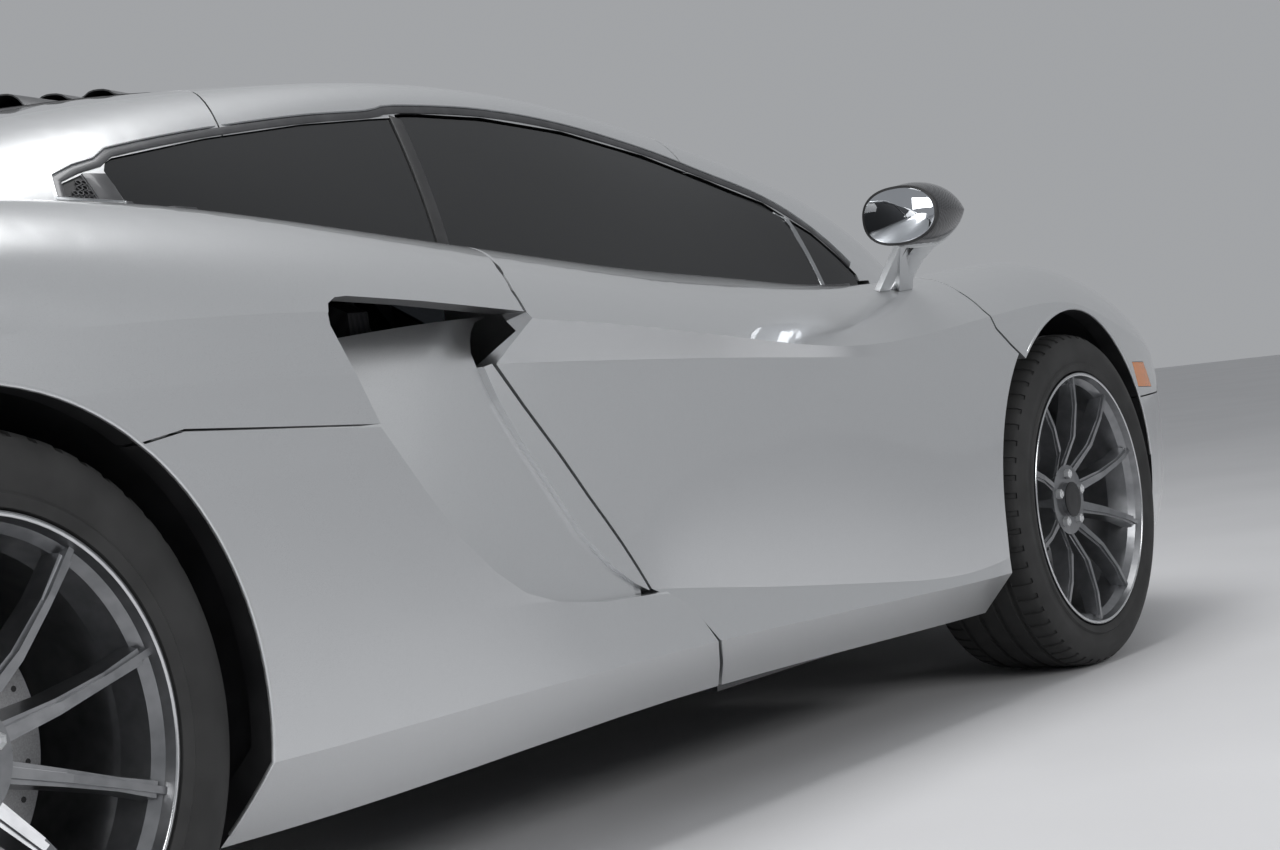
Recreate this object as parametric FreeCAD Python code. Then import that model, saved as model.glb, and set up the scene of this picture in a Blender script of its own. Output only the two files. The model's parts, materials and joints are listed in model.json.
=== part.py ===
"""Mid-engined two-seat coupe with upward-swinging doors, in millimetres.

X points forward, Y to the car's left, Z up; the origin lies on the ground,
below the middle of the car's length. Each sub-part is written to parts/NODE.step.
"""
import FreeCAD, Part
import math
import os

V = FreeCAD.Vector

# Driving dimensions of the whole car
LENGTH = 4507.0
NOSE_X = LENGTH / 2.0
TAIL_X = -LENGTH / 2.0
FRONT_OVERHANG = 1050.0
WHEELBASE = 2670.0
FRONT_AXLE_X = NOSE_X - FRONT_OVERHANG
REAR_AXLE_X = FRONT_AXLE_X - WHEELBASE
FRONT_TRACK = 1656.0
REAR_TRACK = 1583.0
BODY_HALF_WIDTH = 954.0

# Wheels and tyres: section width, outer radius, rim radius, rim width
WHEELS = {
    "front": {"x": FRONT_AXLE_X, "track": FRONT_TRACK, "section": 235.0, "radius": 323.5,
              "rim_radius": 246.5, "rim_width": 228.0, "disc_radius": 185.0},
    "rear": {"x": REAR_AXLE_X, "track": REAR_TRACK, "section": 305.0, "radius": 345.5,
             "rim_radius": 259.0, "rim_width": 292.0, "disc_radius": 175.0},
}
FRONT_ARCH_RADIUS = 367.0
REAR_ARCH_RADIUS = 382.0
WELL_INNER_Y = 520.0
LINER_WALL = 4.0
LINER_STEP = 14.0

# Walls and clearances
SKIN = 34.0
FIT = 0.4
SHUT_GAP = 5.0
PANEL_GAP = 3.0
GLASS_WALL = 5.0
GLASS_SINK = 2.0
BOWL_WALL = 8.0
GRILLE_WALL = 12.0

# Cabin space
CABIN_HALF_WIDTH = 745.0
CABIN_REAR_X = -640.0
CABIN_FRONT_X = 1040.0
FLOOR_TOP = 215.0
FLOOR_BOTTOM = 130.0
SILL_TOP = 400.0
SILL_OUTER_Y = 868.0
SILL_INNER_Y = 640.0
BELT_INNER_Y = 690.0

# Brakes, hubs and suspension
DISC_WALL = 30.0
BELL_RADIUS = 85.0
BELL_DEPTH = 61.6
PIN_RADIUS = 32.0
PIN_PLAY = 0.08
SHAFT_RADIUS = 18.0
BEARING_RADIUS = 55.0
BALL_HEIGHT = 110.0
CALIPER_CHEEK = 17.0
CALIPER_RISE = 20.0
CALIPER_REACH = 105.0
CALIPER_SPAN = 62.0
ARM_INNER_Y = 500.4
ARM_SPREAD = 120.0
ARM_TUBE_RADIUS = 9.5
REAR_BALL_Y = 742.0

KINGPIN_Y = 752.0

# Character lines of the body, from tail to nose: x, half width y, height z
ROCKER = [(-2253, 560, 330), (-2120, 690, 270), (-1850, 800, 215), (-1466, 860, 190),
          (-1143, 885, 180), (-133, 890, 184), (782, 885, 160), (1203, 870, 150),
          (1600, 815, 140), (1850, 725, 130), (2050, 580, 128), (2170, 430, 130), (2253, 240, 140)]
SILL_CREASE = [(-2253, 650, 470), (-2140, 780, 420), (-1850, 905, 330), (-1466, 948, 290),
               (-1143, 954, 272), (-700, 954, 268), (-173, 953, 261), (300, 951, 245),
               (702, 948, 231), (1203, 940, 228), (1600, 890, 228), (1850, 800, 226),
               (2050, 645, 226), (2170, 485, 228), (2253, 275, 232)]
LEDGE = [(-2253, 665, 520), (-2140, 795, 480), (-1850, 915, 410), (-1466, 952, 395),
         (-1143, 952, 390), (-700, 935, 386), (-271, 912, 354), (200, 930, 294),
         (702, 945, 250), (1203, 944, 300), (1600, 905, 290), (1850, 818, 290),
         (2050, 665, 290), (2170, 505, 292), (2253, 292, 296)]
BELLY = [(-2253, 680, 640), (-2140, 810, 610), (-1850, 925, 560), (-1466, 952, 560),
         (-1143, 925, 560), (-800, 868, 560), (-500, 880, 552), (-271, 905, 530), (200, 936, 480),
         (702, 945, 450), (1203, 952, 480), (1600, 915, 420), (1850, 832, 400),
         (2050, 690, 390), (2170, 530, 385), (2253, 305, 380)]
SCALLOP_FLOOR = [(-2253, 690, 730), (-2140, 812, 720), (-1850, 922, 705), (-1466, 944, 700),
                 (-1143, 860, 706), (-800, 790, 706), (-562, 850, 700), (-338, 884, 689),
                 (-85, 912, 677), (262, 934, 653), (702, 934, 640), (1203, 951, 640),
                 (1600, 908, 555), (1850, 835, 520), (2050, 700, 480), (2170, 545, 440), (2253, 312, 415)]
SHOULDER = [(-2253, 690, 760), (-2140, 805, 762), (-1850, 915, 765), (-1466, 944, 772),
            (-1143, 949, 778), (-850, 951, 775), (-523, 951, 752), (-356, 950, 736),
            (-107, 948, 715), (228, 941, 672), (702, 931, 678), (1203, 944, 704),
            (1600, 900, 620), (1850, 830, 570), (2050, 695, 515), (2170, 540, 466), (2253, 308, 435)]
BELT = [(-2253, 600, 850), (-2140, 700, 893), (-1850, 765, 920), (-1466, 785, 930),
        (-1030, 716, 938), (-585, 716, 894), (-167, 724, 849), (322, 730, 807),
        (782, 734, 777), (1203, 752, 798), (1600, 705, 768), (1850, 640, 700),
        (2050, 530, 605), (2170, 400, 530), (2253, 230, 470)]
TOP_CENTRE = [(-2253, 0, 862), (-2140, 0, 905), (-1850, 0, 925), (-1466, 0, 925), (-1030, 0, 915),
              (-167, 0, 860), (782, 0, 800), (1203, 0, 782), (1600, 0, 722), (1850, 0, 665),
              (2050, 0, 600), (2170, 0, 540), (2253, 0, 484)]
SHOULDER_BULGE = [(-2253, 18, 0), (-1850, 42, 0), (-1466, 52, 0), (-1030, 46, 0), (-400, 34, 0),
                  (300, 26, 0), (782, 30, 0), (1203, 36, 0), (1600, 40, 0), (2050, 34, 0), (2253, 14, 0)]
BODY_STATIONS = [-2253.5, -2205, -2120, -1950, -1700, -1466, -1200, -950, -700, -500, -250, 50,
                 350, 700, 1000, 1203, 1450, 1700, 1900, 2060, 2160, 2225, 2253.5]

# The rear haunch keeps its full width where the ramp and the scallop fall inward
HAUNCH_LEDGE = [(-2253, 665, 520), (-2140, 795, 480), (-1850, 915, 410), (-1466, 953, 395),
                (-1143, 954, 390), (-700, 953, 386), (-271, 940, 346), (200, 930, 294),
                (702, 945, 250), (1203, 944, 300), (1600, 905, 290), (1850, 818, 290),
                (2050, 665, 290), (2170, 505, 292), (2253, 292, 296)]
HAUNCH_BELLY = [(-2253, 680, 640), (-2140, 810, 610), (-1850, 925, 560), (-1466, 954, 560),
                (-1143, 954, 560), (-700, 952, 552), (-271, 946, 520), (200, 936, 480),
                (702, 945, 450), (1203, 952, 480), (1600, 915, 420), (1850, 832, 400),
                (2050, 690, 390), (2170, 530, 385), (2253, 305, 380)]
HAUNCH_WAIST = [(-2253, 690, 730), (-2140, 812, 720), (-1850, 922, 705), (-1466, 951, 700),
                (-1143, 953, 706), (-700, 953, 690), (-271, 948, 660), (262, 936, 640),
                (702, 934, 640), (1203, 951, 640), (1600, 908, 555), (1850, 835, 520),
                (2050, 700, 480), (2170, 545, 440), (2253, 312, 415)]

# Character lines of the cabin's glasshouse
GLASS_FOOT = [(-1850, 560, 860), (-1500, 640, 880), (-1030, 700, 905), (-585, 708, 870), (-167, 716, 830),
              (322, 722, 790), (782, 722, 762), (1000, 690, 745), (1180, 620, 735), (1320, 520, 725)]
GLASS_TOP = [(-1850, 520, 900), (-1500, 600, 935), (-1200, 640, 962), (-1023, 622, 988), (-893, 604, 1018),
             (-688, 562, 1052), (-450, 530, 1083), (-179, 503, 1106), (7, 502, 1104), (210, 511, 1084),
             (410, 533, 1043), (545, 562, 999), (675, 602, 946), (790, 655, 880), (1000, 660, 800),
             (1180, 600, 755), (1320, 505, 735)]
RAIL_TOP = [(-1850, 440, 915), (-1500, 500, 965), (-1200, 510, 1030), (-930, 480, 1092), (-720, 462, 1121),
            (-460, 448, 1151), (-120, 440, 1168), (130, 444, 1157), (410, 462, 1115), (578, 492, 1072),
            (720, 528, 1024), (850, 566, 968), (1000, 590, 880), (1180, 560, 780), (1320, 480, 742)]
ROOF_CENTRE = [(-1850, 0, 935), (-1500, 0, 1000), (-1200, 0, 1068), (-930, 0, 1128), (-720, 0, 1160),
               (-460, 0, 1186), (-120, 0, 1199), (130, 0, 1193), (410, 0, 1157), (578, 0, 1116),
               (720, 0, 1070), (850, 0, 1014), (1000, 0, 938), (1160, 0, 848), (1290, 0, 762)]
GLASS_STATIONS = [-1850, -1500, -1200, -1000, -800, -500, -200, 100, 350, 550, 720, 870, 1030, 1160, 1290]
GLASS_BULGE = 9.0
RAIL_BULGE = 12.0

# Outlines seen from the side: x, z
DOOR_OUTLINE = [(-402, 1300), (-402, 876), (-440, 850), (-480, 822), (-506, 788), (-512, 760), (-488, 698),
                (-448, 634), (-401, 565), (-358, 498), (-304, 423), (-255, 353), (-204, 326), (-175, 295),
                (-157, 263), (-114, 225), (-79, 187), (10, 100), (1040, 100), (1040, 560), (1008, 580),
                (974, 602), (921, 637), (882, 668), (863, 705), (859, 745), (870, 785), (870, 1300)]
HAUNCH_OUTLINE = [(-405, 1000), (-405, 880.5), (-443, 854.5), (-484, 826), (-510.5, 791), (-517.5, 761),
                  (-719, 783), (-858, 795), (-880, 794), (-897, 787), (-905, 774), (-904, 760), (-884, 723),
                  (-838, 636), (-1013, 647), (-1162, 657), (-1226, 648), (-1960, 665), (-1960, 1000)]
QUARTER_OUTLINE = [(-1960, 662), (-1226, 645), (-1162, 654), (-1013, 644), (-838, 632), (-775, 553), (-716, 484),
                   (-651, 429), (-592, 393), (-520, 371), (-415, 356), (-302, 350), (-258, 348), (-208, 321),
                   (-182, 292), (-163, 261), (-119, 221), (-84, 183), (25, 76), (25, 60), (-1960, 60)]
QUARTER_INNER_Y = 605.0


def line_at(table, x):
    """Smooth value of a character line at x: y and z on cubic arcs between its points."""
    xs = [row[0] for row in table]
    x = min(max(x, xs[0]), xs[-1])
    k = 0
    while k < len(xs) - 2 and x > xs[k + 1]:
        k += 1

    def slope(i, c):
        if i == 0:
            return (table[1][c] - table[0][c]) / (xs[1] - xs[0])
        if i == len(xs) - 1:
            return (table[-1][c] - table[-2][c]) / (xs[-1] - xs[-2])
        left = (table[i][c] - table[i - 1][c]) / (xs[i] - xs[i - 1])
        right = (table[i + 1][c] - table[i][c]) / (xs[i + 1] - xs[i])
        wl = xs[i + 1] - xs[i]
        wr = xs[i] - xs[i - 1]
        return (left * wl + right * wr) / (wl + wr)

    h = xs[k + 1] - xs[k]
    t = (x - xs[k]) / h
    out = []
    for c in (1, 2):
        a, b = table[k][c], table[k + 1][c]
        ma, mb = slope(k, c) * h, slope(k + 1, c) * h
        out.append((2 * t**3 - 3 * t**2 + 1) * a + (t**3 - 2 * t**2 + t) * ma
                   + (3 * t**2 - 2 * t**3) * b + (t**3 - t**2) * mb)
    return out


def arc_or_line(p, q, bulge):
    """Edge from p to q that bows outward (away from the car's middle) by bulge."""
    d = q - p
    n = V(0, d.z, -d.y)
    if n.Length < 1e-6 or abs(bulge) < 1e-6:
        return Part.makeLine(p, q)
    n.normalize()
    return Part.Arc(p, (p + q) * 0.5 + n * bulge, q).toShape()


def mirror_point(p):
    return V(p.x, -p.y, p.z)


def closed_section(points, bulges, centre_z):
    """Section wire from half-section points (bottom to top, left side) and a crowned top."""
    edges = [Part.makeLine(mirror_point(points[0]), points[0])]
    for k, bulge in enumerate(bulges):
        edges.append(arc_or_line(points[k], points[k + 1], bulge))
    top = points[-1]
    edges.append(Part.Arc(top, V(top.x, 0, centre_z), mirror_point(top)).toShape())
    for k in reversed(range(len(bulges))):
        p, q = mirror_point(points[k + 1]), mirror_point(points[k])
        mid = edges[k + 1].valueAt((edges[k + 1].FirstParameter + edges[k + 1].LastParameter) / 2.0)
        if abs(bulges[k]) < 1e-6:
            edges.append(Part.makeLine(p, q))
        else:
            edges.append(Part.Arc(p, mirror_point(mid), q).toShape())
    return Part.Wire(edges)


def body_solid(inset, haunch):
    """The body below the glass, set in by a wall thickness; haunch gives the full rear width."""
    ledge = HAUNCH_LEDGE if haunch else LEDGE
    belly = HAUNCH_BELLY if haunch else BELLY
    waist = HAUNCH_WAIST if haunch else SCALLOP_FLOOR
    shrink = (NOSE_X - inset) / NOSE_X
    wires = []
    for x in BODY_STATIONS:
        pts = []
        for table in (ROCKER, SILL_CREASE, ledge, waist, SHOULDER, BELT):
            y, z = line_at(table, x)
            pts.append([y - inset, z])
        pts[0][1] += inset
        pts[1][1] += inset * 0.5
        pts[-1][1] -= inset
        pts[-2][1] -= inset * 0.4
        by, bz = line_at(belly, x)
        by -= inset
        p, q = pts[2], pts[3]
        chord_y = p[0] + (q[0] - p[0]) * (bz - p[1]) / (q[1] - p[1])
        belly_bulge = by - chord_y
        sx = x * shrink
        vs = [V(sx, max(y, 40.0 + 20 * k), z) for k, (y, z) in enumerate(pts)]
        bulge_s = line_at(SHOULDER_BULGE, x)[0]
        top_z = line_at(TOP_CENTRE, x)[1] - inset
        if abs(top_z - vs[-1].z) < 1.0:
            top_z = vs[-1].z + 1.0
        wires.append(closed_section(vs, [0, 0, belly_bulge, 0, bulge_s], top_z))
    return Part.makeLoft(wires, True, False, False, 5)


def glasshouse_solid(inset):
    """The cabin top from the cowl to the rear buttresses, set in by a wall thickness."""
    shrink = (GLASS_STATIONS[-1] - inset) / GLASS_STATIONS[-1]
    wires = []
    for x in GLASS_STATIONS:
        pts = []
        for table in (GLASS_FOOT, GLASS_TOP, RAIL_TOP):
            y, z = line_at(table, x)
            pts.append([y - inset, z])
        pts[0][1] -= 60.0
        pts[1][1] -= inset * 0.45
        pts[2][1] -= inset
        vs = [V(x * shrink, y, z) for y, z in pts]
        top_z = line_at(ROOF_CENTRE, x)[1] - inset
        wires.append(closed_section(vs, [GLASS_BULGE, RAIL_BULGE], top_z))
    return Part.makeLoft(wires, True, False, False, 5)


def box(x0, x1, y0, y1, z0, z1):
    return Part.makeBox(x1 - x0, y1 - y0, z1 - z0, V(x0, y0, z0))


def side_prism(points, y0, y1):
    """Prism over an outline of x, z points, from y0 to y1."""
    ring = [V(x, y0, z) for x, z in points]
    ring.append(ring[0])
    return Part.Face(Part.makePolygon(ring)).extrude(V(0, y1 - y0, 0))


def plan_prism(points, z0, z1):
    """Prism over an outline of x, y points, from z0 to z1."""
    ring = [V(x, y, z0) for x, y in points]
    ring.append(ring[0])
    return Part.Face(Part.makePolygon(ring)).extrude(V(0, 0, z1 - z0))


def cross_cylinder(x, z, radius, y0, y1):
    return Part.makeCylinder(radius, y1 - y0, V(x, y0, z), V(0, 1, 0))


def mirrored(shape):
    return shape.mirror(V(0, 0, 0), V(0, 1, 0))


def both_sides(shape):
    """A piece and its mirror image, as one compound of separate solids."""
    return Part.makeCompound(shape.Solids + mirrored(shape).Solids)


def offset_outline(points, gap):
    """Outline grown by gap on all sides (shrunk when gap is negative)."""
    ring = [V(x, 0, z) for x, z in points]
    ring.append(ring[0])
    grown = Part.makePolygon(ring).makeOffset2D(gap, 2, False, False)
    return [(v.X, v.Z) for v in grown.OrderedVertexes]


PARTS = {}


def keep(name, shape):
    PARTS[name] = shape


# Whole-body volumes that the panels are cut from
OUTER = body_solid(0.0, False)
INNER = body_solid(SKIN, False)
OUTER_HAUNCH = body_solid(0.0, True)
INNER_HAUNCH = body_solid(SKIN, True)
GLASSHOUSE = glasshouse_solid(0.0)
GLASSHOUSE_INNER = glasshouse_solid(SKIN)
FRAME_ENVELOPE = body_solid(SKIN + FIT, False)
SEAT_FACE = body_solid(-FIT, False)
REAR_ENVELOPE = body_solid(SKIN + FIT, True)

FAR = 1300.0
FRONT_HUB_Z = WHEELS["front"]["radius"]
REAR_HUB_Z = WHEELS["rear"]["radius"]

front_arches = cross_cylinder(FRONT_AXLE_X, FRONT_HUB_Z, FRONT_ARCH_RADIUS, -FAR, FAR)
rear_arches = cross_cylinder(REAR_AXLE_X, REAR_HUB_Z, REAR_ARCH_RADIUS, -FAR, FAR)
ARCHES = Part.makeCompound([front_arches, rear_arches])


def wheel_wells(front_radius, rear_radius):
    """Both pairs of wheel wells as one compound, outboard of the well's inner wall."""
    wells = []
    for axle_x, hub_z, radius in ((FRONT_AXLE_X, FRONT_HUB_Z, front_radius),
                                  (REAR_AXLE_X, REAR_HUB_Z, rear_radius)):
        wells.append(cross_cylinder(axle_x, hub_z, radius, WELL_INNER_Y, FAR))
        wells.append(cross_cylinder(axle_x, hub_z, radius, -FAR, -WELL_INNER_Y))
        wells.append(box(axle_x - radius, axle_x + radius, WELL_INNER_Y, FAR, -10, hub_z))
        wells.append(box(axle_x - radius, axle_x + radius, -FAR, -WELL_INNER_Y, -10, hub_z))
    return Part.makeCompound(wells)


WELL_CLEAR = wheel_wells(FRONT_ARCH_RADIUS + LINER_STEP + LINER_WALL + FIT,
                         REAR_ARCH_RADIUS + LINER_STEP + LINER_WALL + FIT)

skin = OUTER.cut(INNER)
haunch_skin = OUTER_HAUNCH.cut(INNER_HAUNCH)

# Door openings: one side, outline grown by the shut gap
door_hole_outline = offset_outline(DOOR_OUTLINE, SHUT_GAP)

# Front of the car: bumper, wings, lid and cowl
LID_REAR_X = 1298.0
LID_PIVOT = (1322.0, 760.0)
LID_EDGE_RADIUS = 24.0
LID_REACH = 700.0
LID_FRONT_X = 2030.0
LID_REAR_HALF = 560.0
LID_FRONT_HALF = 400.0
BUMPER_LINE = [(1500, 100), (1500, 497), (1745, 497), (1960, 560), (2045, 640), (2045, 1000),
               (2400, 1000), (2400, 60), (1500, 60)]


def lid_plan(gap):
    """Outline of the front lid seen from above, grown by gap."""
    rear_x = LID_REAR_X - gap
    front_x = LID_FRONT_X + gap
    return [(rear_x, -LID_REAR_HALF - gap), (front_x, -LID_FRONT_HALF - gap),
            (front_x, LID_FRONT_HALF + gap), (rear_x, LID_REAR_HALF + gap)]


# Lamps and intakes, as columns cut through the skin
TOW_HOLE_RADIUS = 26.0
HEADLAMP_PLAN = [(1640, 700), (1760, 765), (1890, 745), (1990, 660), (2015, 590), (1965, 575), (1880, 600),
                 (1780, 640)]
MARKER_SIDE = [(1520, 571), (1626, 567), (1664, 514), (1532, 520)]
MOUTHS = [box(1800, 2300, 400, 800, 235, 420), box(1800, 2300, -800, -400, 235, 420),
          box(1800, 2300, -330, 330, 165, 255)]


def headlamp_column(gap):
    ring = [V(x, y, 400) for x, y in HEADLAMP_PLAN]
    ring.append(ring[0])
    wire = Part.makePolygon(ring)
    if gap:
        wire = wire.makeOffset2D(gap, 2, False, False)
    return Part.Face(wire).extrude(V(0, 0, 500))


headlamp_holes = both_sides(headlamp_column(FIT))
marker_block = side_prism(MARKER_SIDE, 700, FAR)
marker_holes = both_sides(side_prism(offset_outline(MARKER_SIDE, 1.0), 700, FAR))
under_lens = body_solid(GLASS_WALL, False)
lens_block = Part.makeCompound([headlamp_column(0.0), marker_block])
lenses = OUTER.common(lens_block).cut(under_lens).Solids
lenses.sort(key=lambda lens: lens.Volume)
keep("headlamps", both_sides(lenses[1]))
keep("side_markers", both_sides(lenses[0]))
bowl_outer = body_solid(SKIN - BOWL_WALL, False)
bowl = skin.common(headlamp_column(0.0)).common(bowl_outer)
PROJECTORS = [(1820, 700), (1900, 670)]
PROJECTOR_RADIUS = 27.0
PROJECTOR_DROP = 2.0
posts = [Part.makeCylinder(PROJECTOR_RADIUS, 500, V(x, y, 400)) for x, y in PROJECTORS]
under_projector = body_solid(GLASS_WALL + PROJECTOR_DROP, False)
posts = [post.common(under_projector).cut(bowl_outer) for post in posts]
keep("headlamp_bowls", both_sides(bowl.fuse(posts)))
front_holes = headlamp_holes.Solids + marker_holes.Solids
front_tow_hole = Part.makeCylinder(TOW_HOLE_RADIUS, 300, V(2085, -450, 330), V(1, 0, 0))
mouth_backs = Part.makeCompound([box(1790, 2300, 390, 810, 225, 430), box(1790, 2300, -810, -390, 225, 430),
                                 box(1790, 2300, -340, 340, 155, 265)])
grilles = FRAME_ENVELOPE.common(mouth_backs).cut(
    Part.makeCompound([body_solid(SKIN + GRILLE_WALL, False), front_tow_hole]))
keep("front_grilles", grilles)



def round_ended(column, pivot, radius, ahead):
    """Column cut round about the pivot's line on one side, so that what it holds turns free there."""
    x0, x1 = (pivot[0] - 200.0, pivot[0]) if ahead else (pivot[0], pivot[0] + 200.0)
    beyond = box(x0, x1, -FAR, FAR, 0, 1300).cut(cross_cylinder(pivot[0], pivot[1], radius, -FAR, FAR))
    return column.cut(beyond)


def lid_column(gap):
    """Column over the lid's plan, grown by gap; both its ends are round about the pivot."""
    column = round_ended(plan_prism(lid_plan(gap), 480, 1000), LID_PIVOT, LID_EDGE_RADIUS + gap, True)
    return column.common(cross_cylinder(LID_PIVOT[0], LID_PIVOT[1], LID_REACH + gap, -FAR, FAR))


lid_hole = lid_column(SHUT_GAP)
keep("front_lid", skin.common(lid_column(0.0)))

nose_zone = side_prism(BUMPER_LINE, -FAR, FAR)
front_bumper = skin.common(nose_zone).cut(
    Part.makeCompound([ARCHES, lid_hole] + MOUTHS + front_holes))

COWL_PLAN = [(1020, -600), (LID_PIVOT[0], -600), (LID_PIVOT[0], 600), (1020, 600)]
WING_SIDE = [(760, 60), (1500 - PANEL_GAP, 60), (1500 - PANEL_GAP, 500), (1745, 500),
             (1958, 563), (2042, 643), (2042, 1000), (770, 1000)]
wing_zone = side_prism(WING_SIDE, -FAR, FAR)
door_hole_both = both_sides(side_prism(door_hole_outline, BELT_INNER_Y - 200, FAR))
cowl_hole = plan_prism([(600, -600 - PANEL_GAP), (LID_PIVOT[0], -600 - PANEL_GAP),
                        (LID_PIVOT[0], 600 + PANEL_GAP), (600, 600 + PANEL_GAP)], 60, 1300)
low_middle = box(700, 1700, -600, 600, 60, 480)
wings = skin.common(wing_zone).cut(Part.makeCompound(
    [ARCHES, lid_hole, door_hole_both, cowl_hole, low_middle] + front_holes))
wings = wings.cut(GLASSHOUSE)
keep("front_wings", wings)
keep("front_bumper", front_bumper)
cowl = skin.common(plan_prism(COWL_PLAN, 600, 1000)).cut([GLASSHOUSE, lid_hole])
keep("cowl_panel", cowl)

# Doors, as thick as the whole door, hollowed over the sill. Their rear shut faces lean, so that
# each door clears the haunch and the rear sill as it swings out and up
UPPER_SHUT_FACE = [(-390, 1300), (-390, 1065), (-402, 1019), (-440, 938), (-477, 873), (-500, 833),
                   (-507, 798), (-512, 766), (-512, 700), (-900, 700), (-900, 1300)]
UPPER_LEAN = (0.0, -0.72)
LOWER_SHUT_FACE = [(-269, 353), (-209, 326), (-178, 295), (-158, 263), (-124, 225), (-99, 187), (-20, 100),
                   (-500, 100), (-500, 353)]
LOWER_LEAN = (0.34, 0.0)


def leaning_prism(points, lean):
    """Prism over an outline given at the body's side; it shifts by lean (x, z) for each mm inward."""
    depth = BODY_HALF_WIDTH - BELT_INNER_Y + 10.0
    way = depth + 60.0
    ring = [V(x + lean[0] * depth, BODY_HALF_WIDTH - depth, z + lean[1] * depth) for x, z in points]
    ring.append(ring[0])
    return Part.Face(Part.makePolygon(ring)).extrude(V(-lean[0] * way, way, -lean[1] * way))


door_block = side_prism(DOOR_OUTLINE, BELT_INNER_Y, FAR).cut(
    [leaning_prism(UPPER_SHUT_FACE, UPPER_LEAN), leaning_prism(LOWER_SHUT_FACE, LOWER_LEAN)])
door_inner = [
    box(-1000, 1500, 0, SILL_OUTER_Y + SHUT_GAP, -10, SILL_TOP + SHUT_GAP),
    INNER.common(box(-1000, 1500, 0, CABIN_HALF_WIDTH, 0, 1300)),
    INNER.common(box(-600, -440, BELT_INNER_Y, 960, 640, 860))]
door_inner += wheel_wells(FRONT_ARCH_RADIUS + LINER_STEP + LINER_WALL + SHUT_GAP, 100).Solids
door_left = OUTER.common(door_block).cut([front_arches] + door_inner)
door_left = door_left.cut(GLASSHOUSE_INNER)
keep("door_left", door_left)
keep("door_right", mirrored(door_left))

# Rear side: upper haunch, lower quarter with the rear sill, and the intake ramp
haunch_zone = side_prism(HAUNCH_OUTLINE, 300, FAR)
middle_top = plan_prism([(-2300, -470), (-380, -470), (-380, 470), (-2300, 470)], 60, 1300)
haunch = haunch_skin.common(haunch_zone).cut(Part.makeCompound([rear_arches, middle_top]))
haunch = haunch.cut(GLASSHOUSE)
keep("rear_haunches", both_sides(haunch))

lower_zone = side_prism(QUARTER_OUTLINE, QUARTER_INNER_Y, FAR)
lower = haunch_skin.common(lower_zone).cut(rear_arches)
keep("rear_lower_quarters", both_sides(lower))

# Intake ramp, a thin wall that falls inward to the mouth: x, height of its top edge, then its
# half widths at that edge, at the middle, low down and at the foot
RAMP_WALL = 12.0
RAMP_MIDDLE_Z = 575.0
RAMP_LOW_Z = 400.0
RAMP_FOOT_Z = 335.0
RAMP = [(-1060, 744, 784, 802, 884, 905), (-900, 746, 786, 815, 885, 906), (-780, 749, 794, 832, 888, 907),
        (-660, 757, 810, 850, 894, 908), (-560, 762, 828, 862, 898, 908), (-460, 764, 842, 871, 899, 908),
        (-350, 766, 852, 880, 901, 908), (-240, 768, 858, 886, 903, 908)]
STRIP_EDGE = [(-509, 695), (-495, 647), (-468, 585), (-429, 517), (-389, 447), (-342, 398), (-292, 365)]
STRIP_FRONT = [(-262, 352), (-262, 354), (-310.5, 423), (-364.5, 498), (-407.5, 565), (-454.5, 634),
               (-494.5, 698)]
RAMP_OUTLINE = [(-1070, 300), (-1070, 800), (-472, 800), (-472, 763), (-492, 757), (-503, 745), (-509, 732),
                (-513, 715)] + STRIP_EDGE + [(-285, 300)]


def ramp_ring(x, top_z, widths):
    """Closed section of the ramp: an arc down from the top edge, a line to the foot, and its inner side."""
    heights = (top_z, RAMP_MIDDLE_Z, RAMP_LOW_Z, RAMP_FOOT_Z)
    top, middle, low, foot = [V(x, y, z) for y, z in zip(widths, heights)]
    wall = V(0, RAMP_WALL, 0)
    return Part.Wire([
        Part.Arc(top, middle, low).toShape(), Part.makeLine(low, foot), Part.makeLine(foot, foot - wall),
        Part.makeLine(foot - wall, low - wall), Part.Arc(low - wall, middle - wall, top - wall).toShape(),
        Part.makeLine(top - wall, top)])


ramp = Part.makeLoft([ramp_ring(row[0], row[1], row[2:]) for row in RAMP], True, False, False, 5)
ramp = ramp.common(side_prism(RAMP_OUTLINE, QUARTER_INNER_Y, FAR))
strip = skin.common(side_prism(STRIP_EDGE + STRIP_FRONT, QUARTER_INNER_Y, FAR))
ramp = ramp.fuse(strip).cut([haunch, lower])
keep("intake_ramps", both_sides(ramp))

# Rear bumper and tail opening
tail_zone = box(TAIL_X - 10, -1960 - PANEL_GAP, -FAR, FAR, 60, 1300)
BRAKE_PIVOT = (-2027.0, 897.0)
BRAKE_EDGE_RADIUS = 28.0
BRAKE_REACH = 172.0
BRAKE_FRONT_HALF = 600.0
BRAKE_REAR_HALF = 560.0


def airbrake_column(gap):
    """Column over the airbrake's plan, grown by gap; both its ends are round about the pivot."""
    front_x, rear_x = BRAKE_PIVOT[0] + BRAKE_EDGE_RADIUS + gap, BRAKE_PIVOT[0] - BRAKE_REACH - gap
    front_half, rear_half = BRAKE_FRONT_HALF + gap, BRAKE_REAR_HALF + gap
    column = plan_prism([(rear_x, -rear_half), (front_x, -front_half), (front_x, front_half), (rear_x, rear_half)],
                        700, 1000)
    column = round_ended(column, BRAKE_PIVOT, BRAKE_EDGE_RADIUS + gap, False)
    return column.common(cross_cylinder(BRAKE_PIVOT[0], BRAKE_PIVOT[1], BRAKE_REACH + gap, -FAR, FAR))


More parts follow.
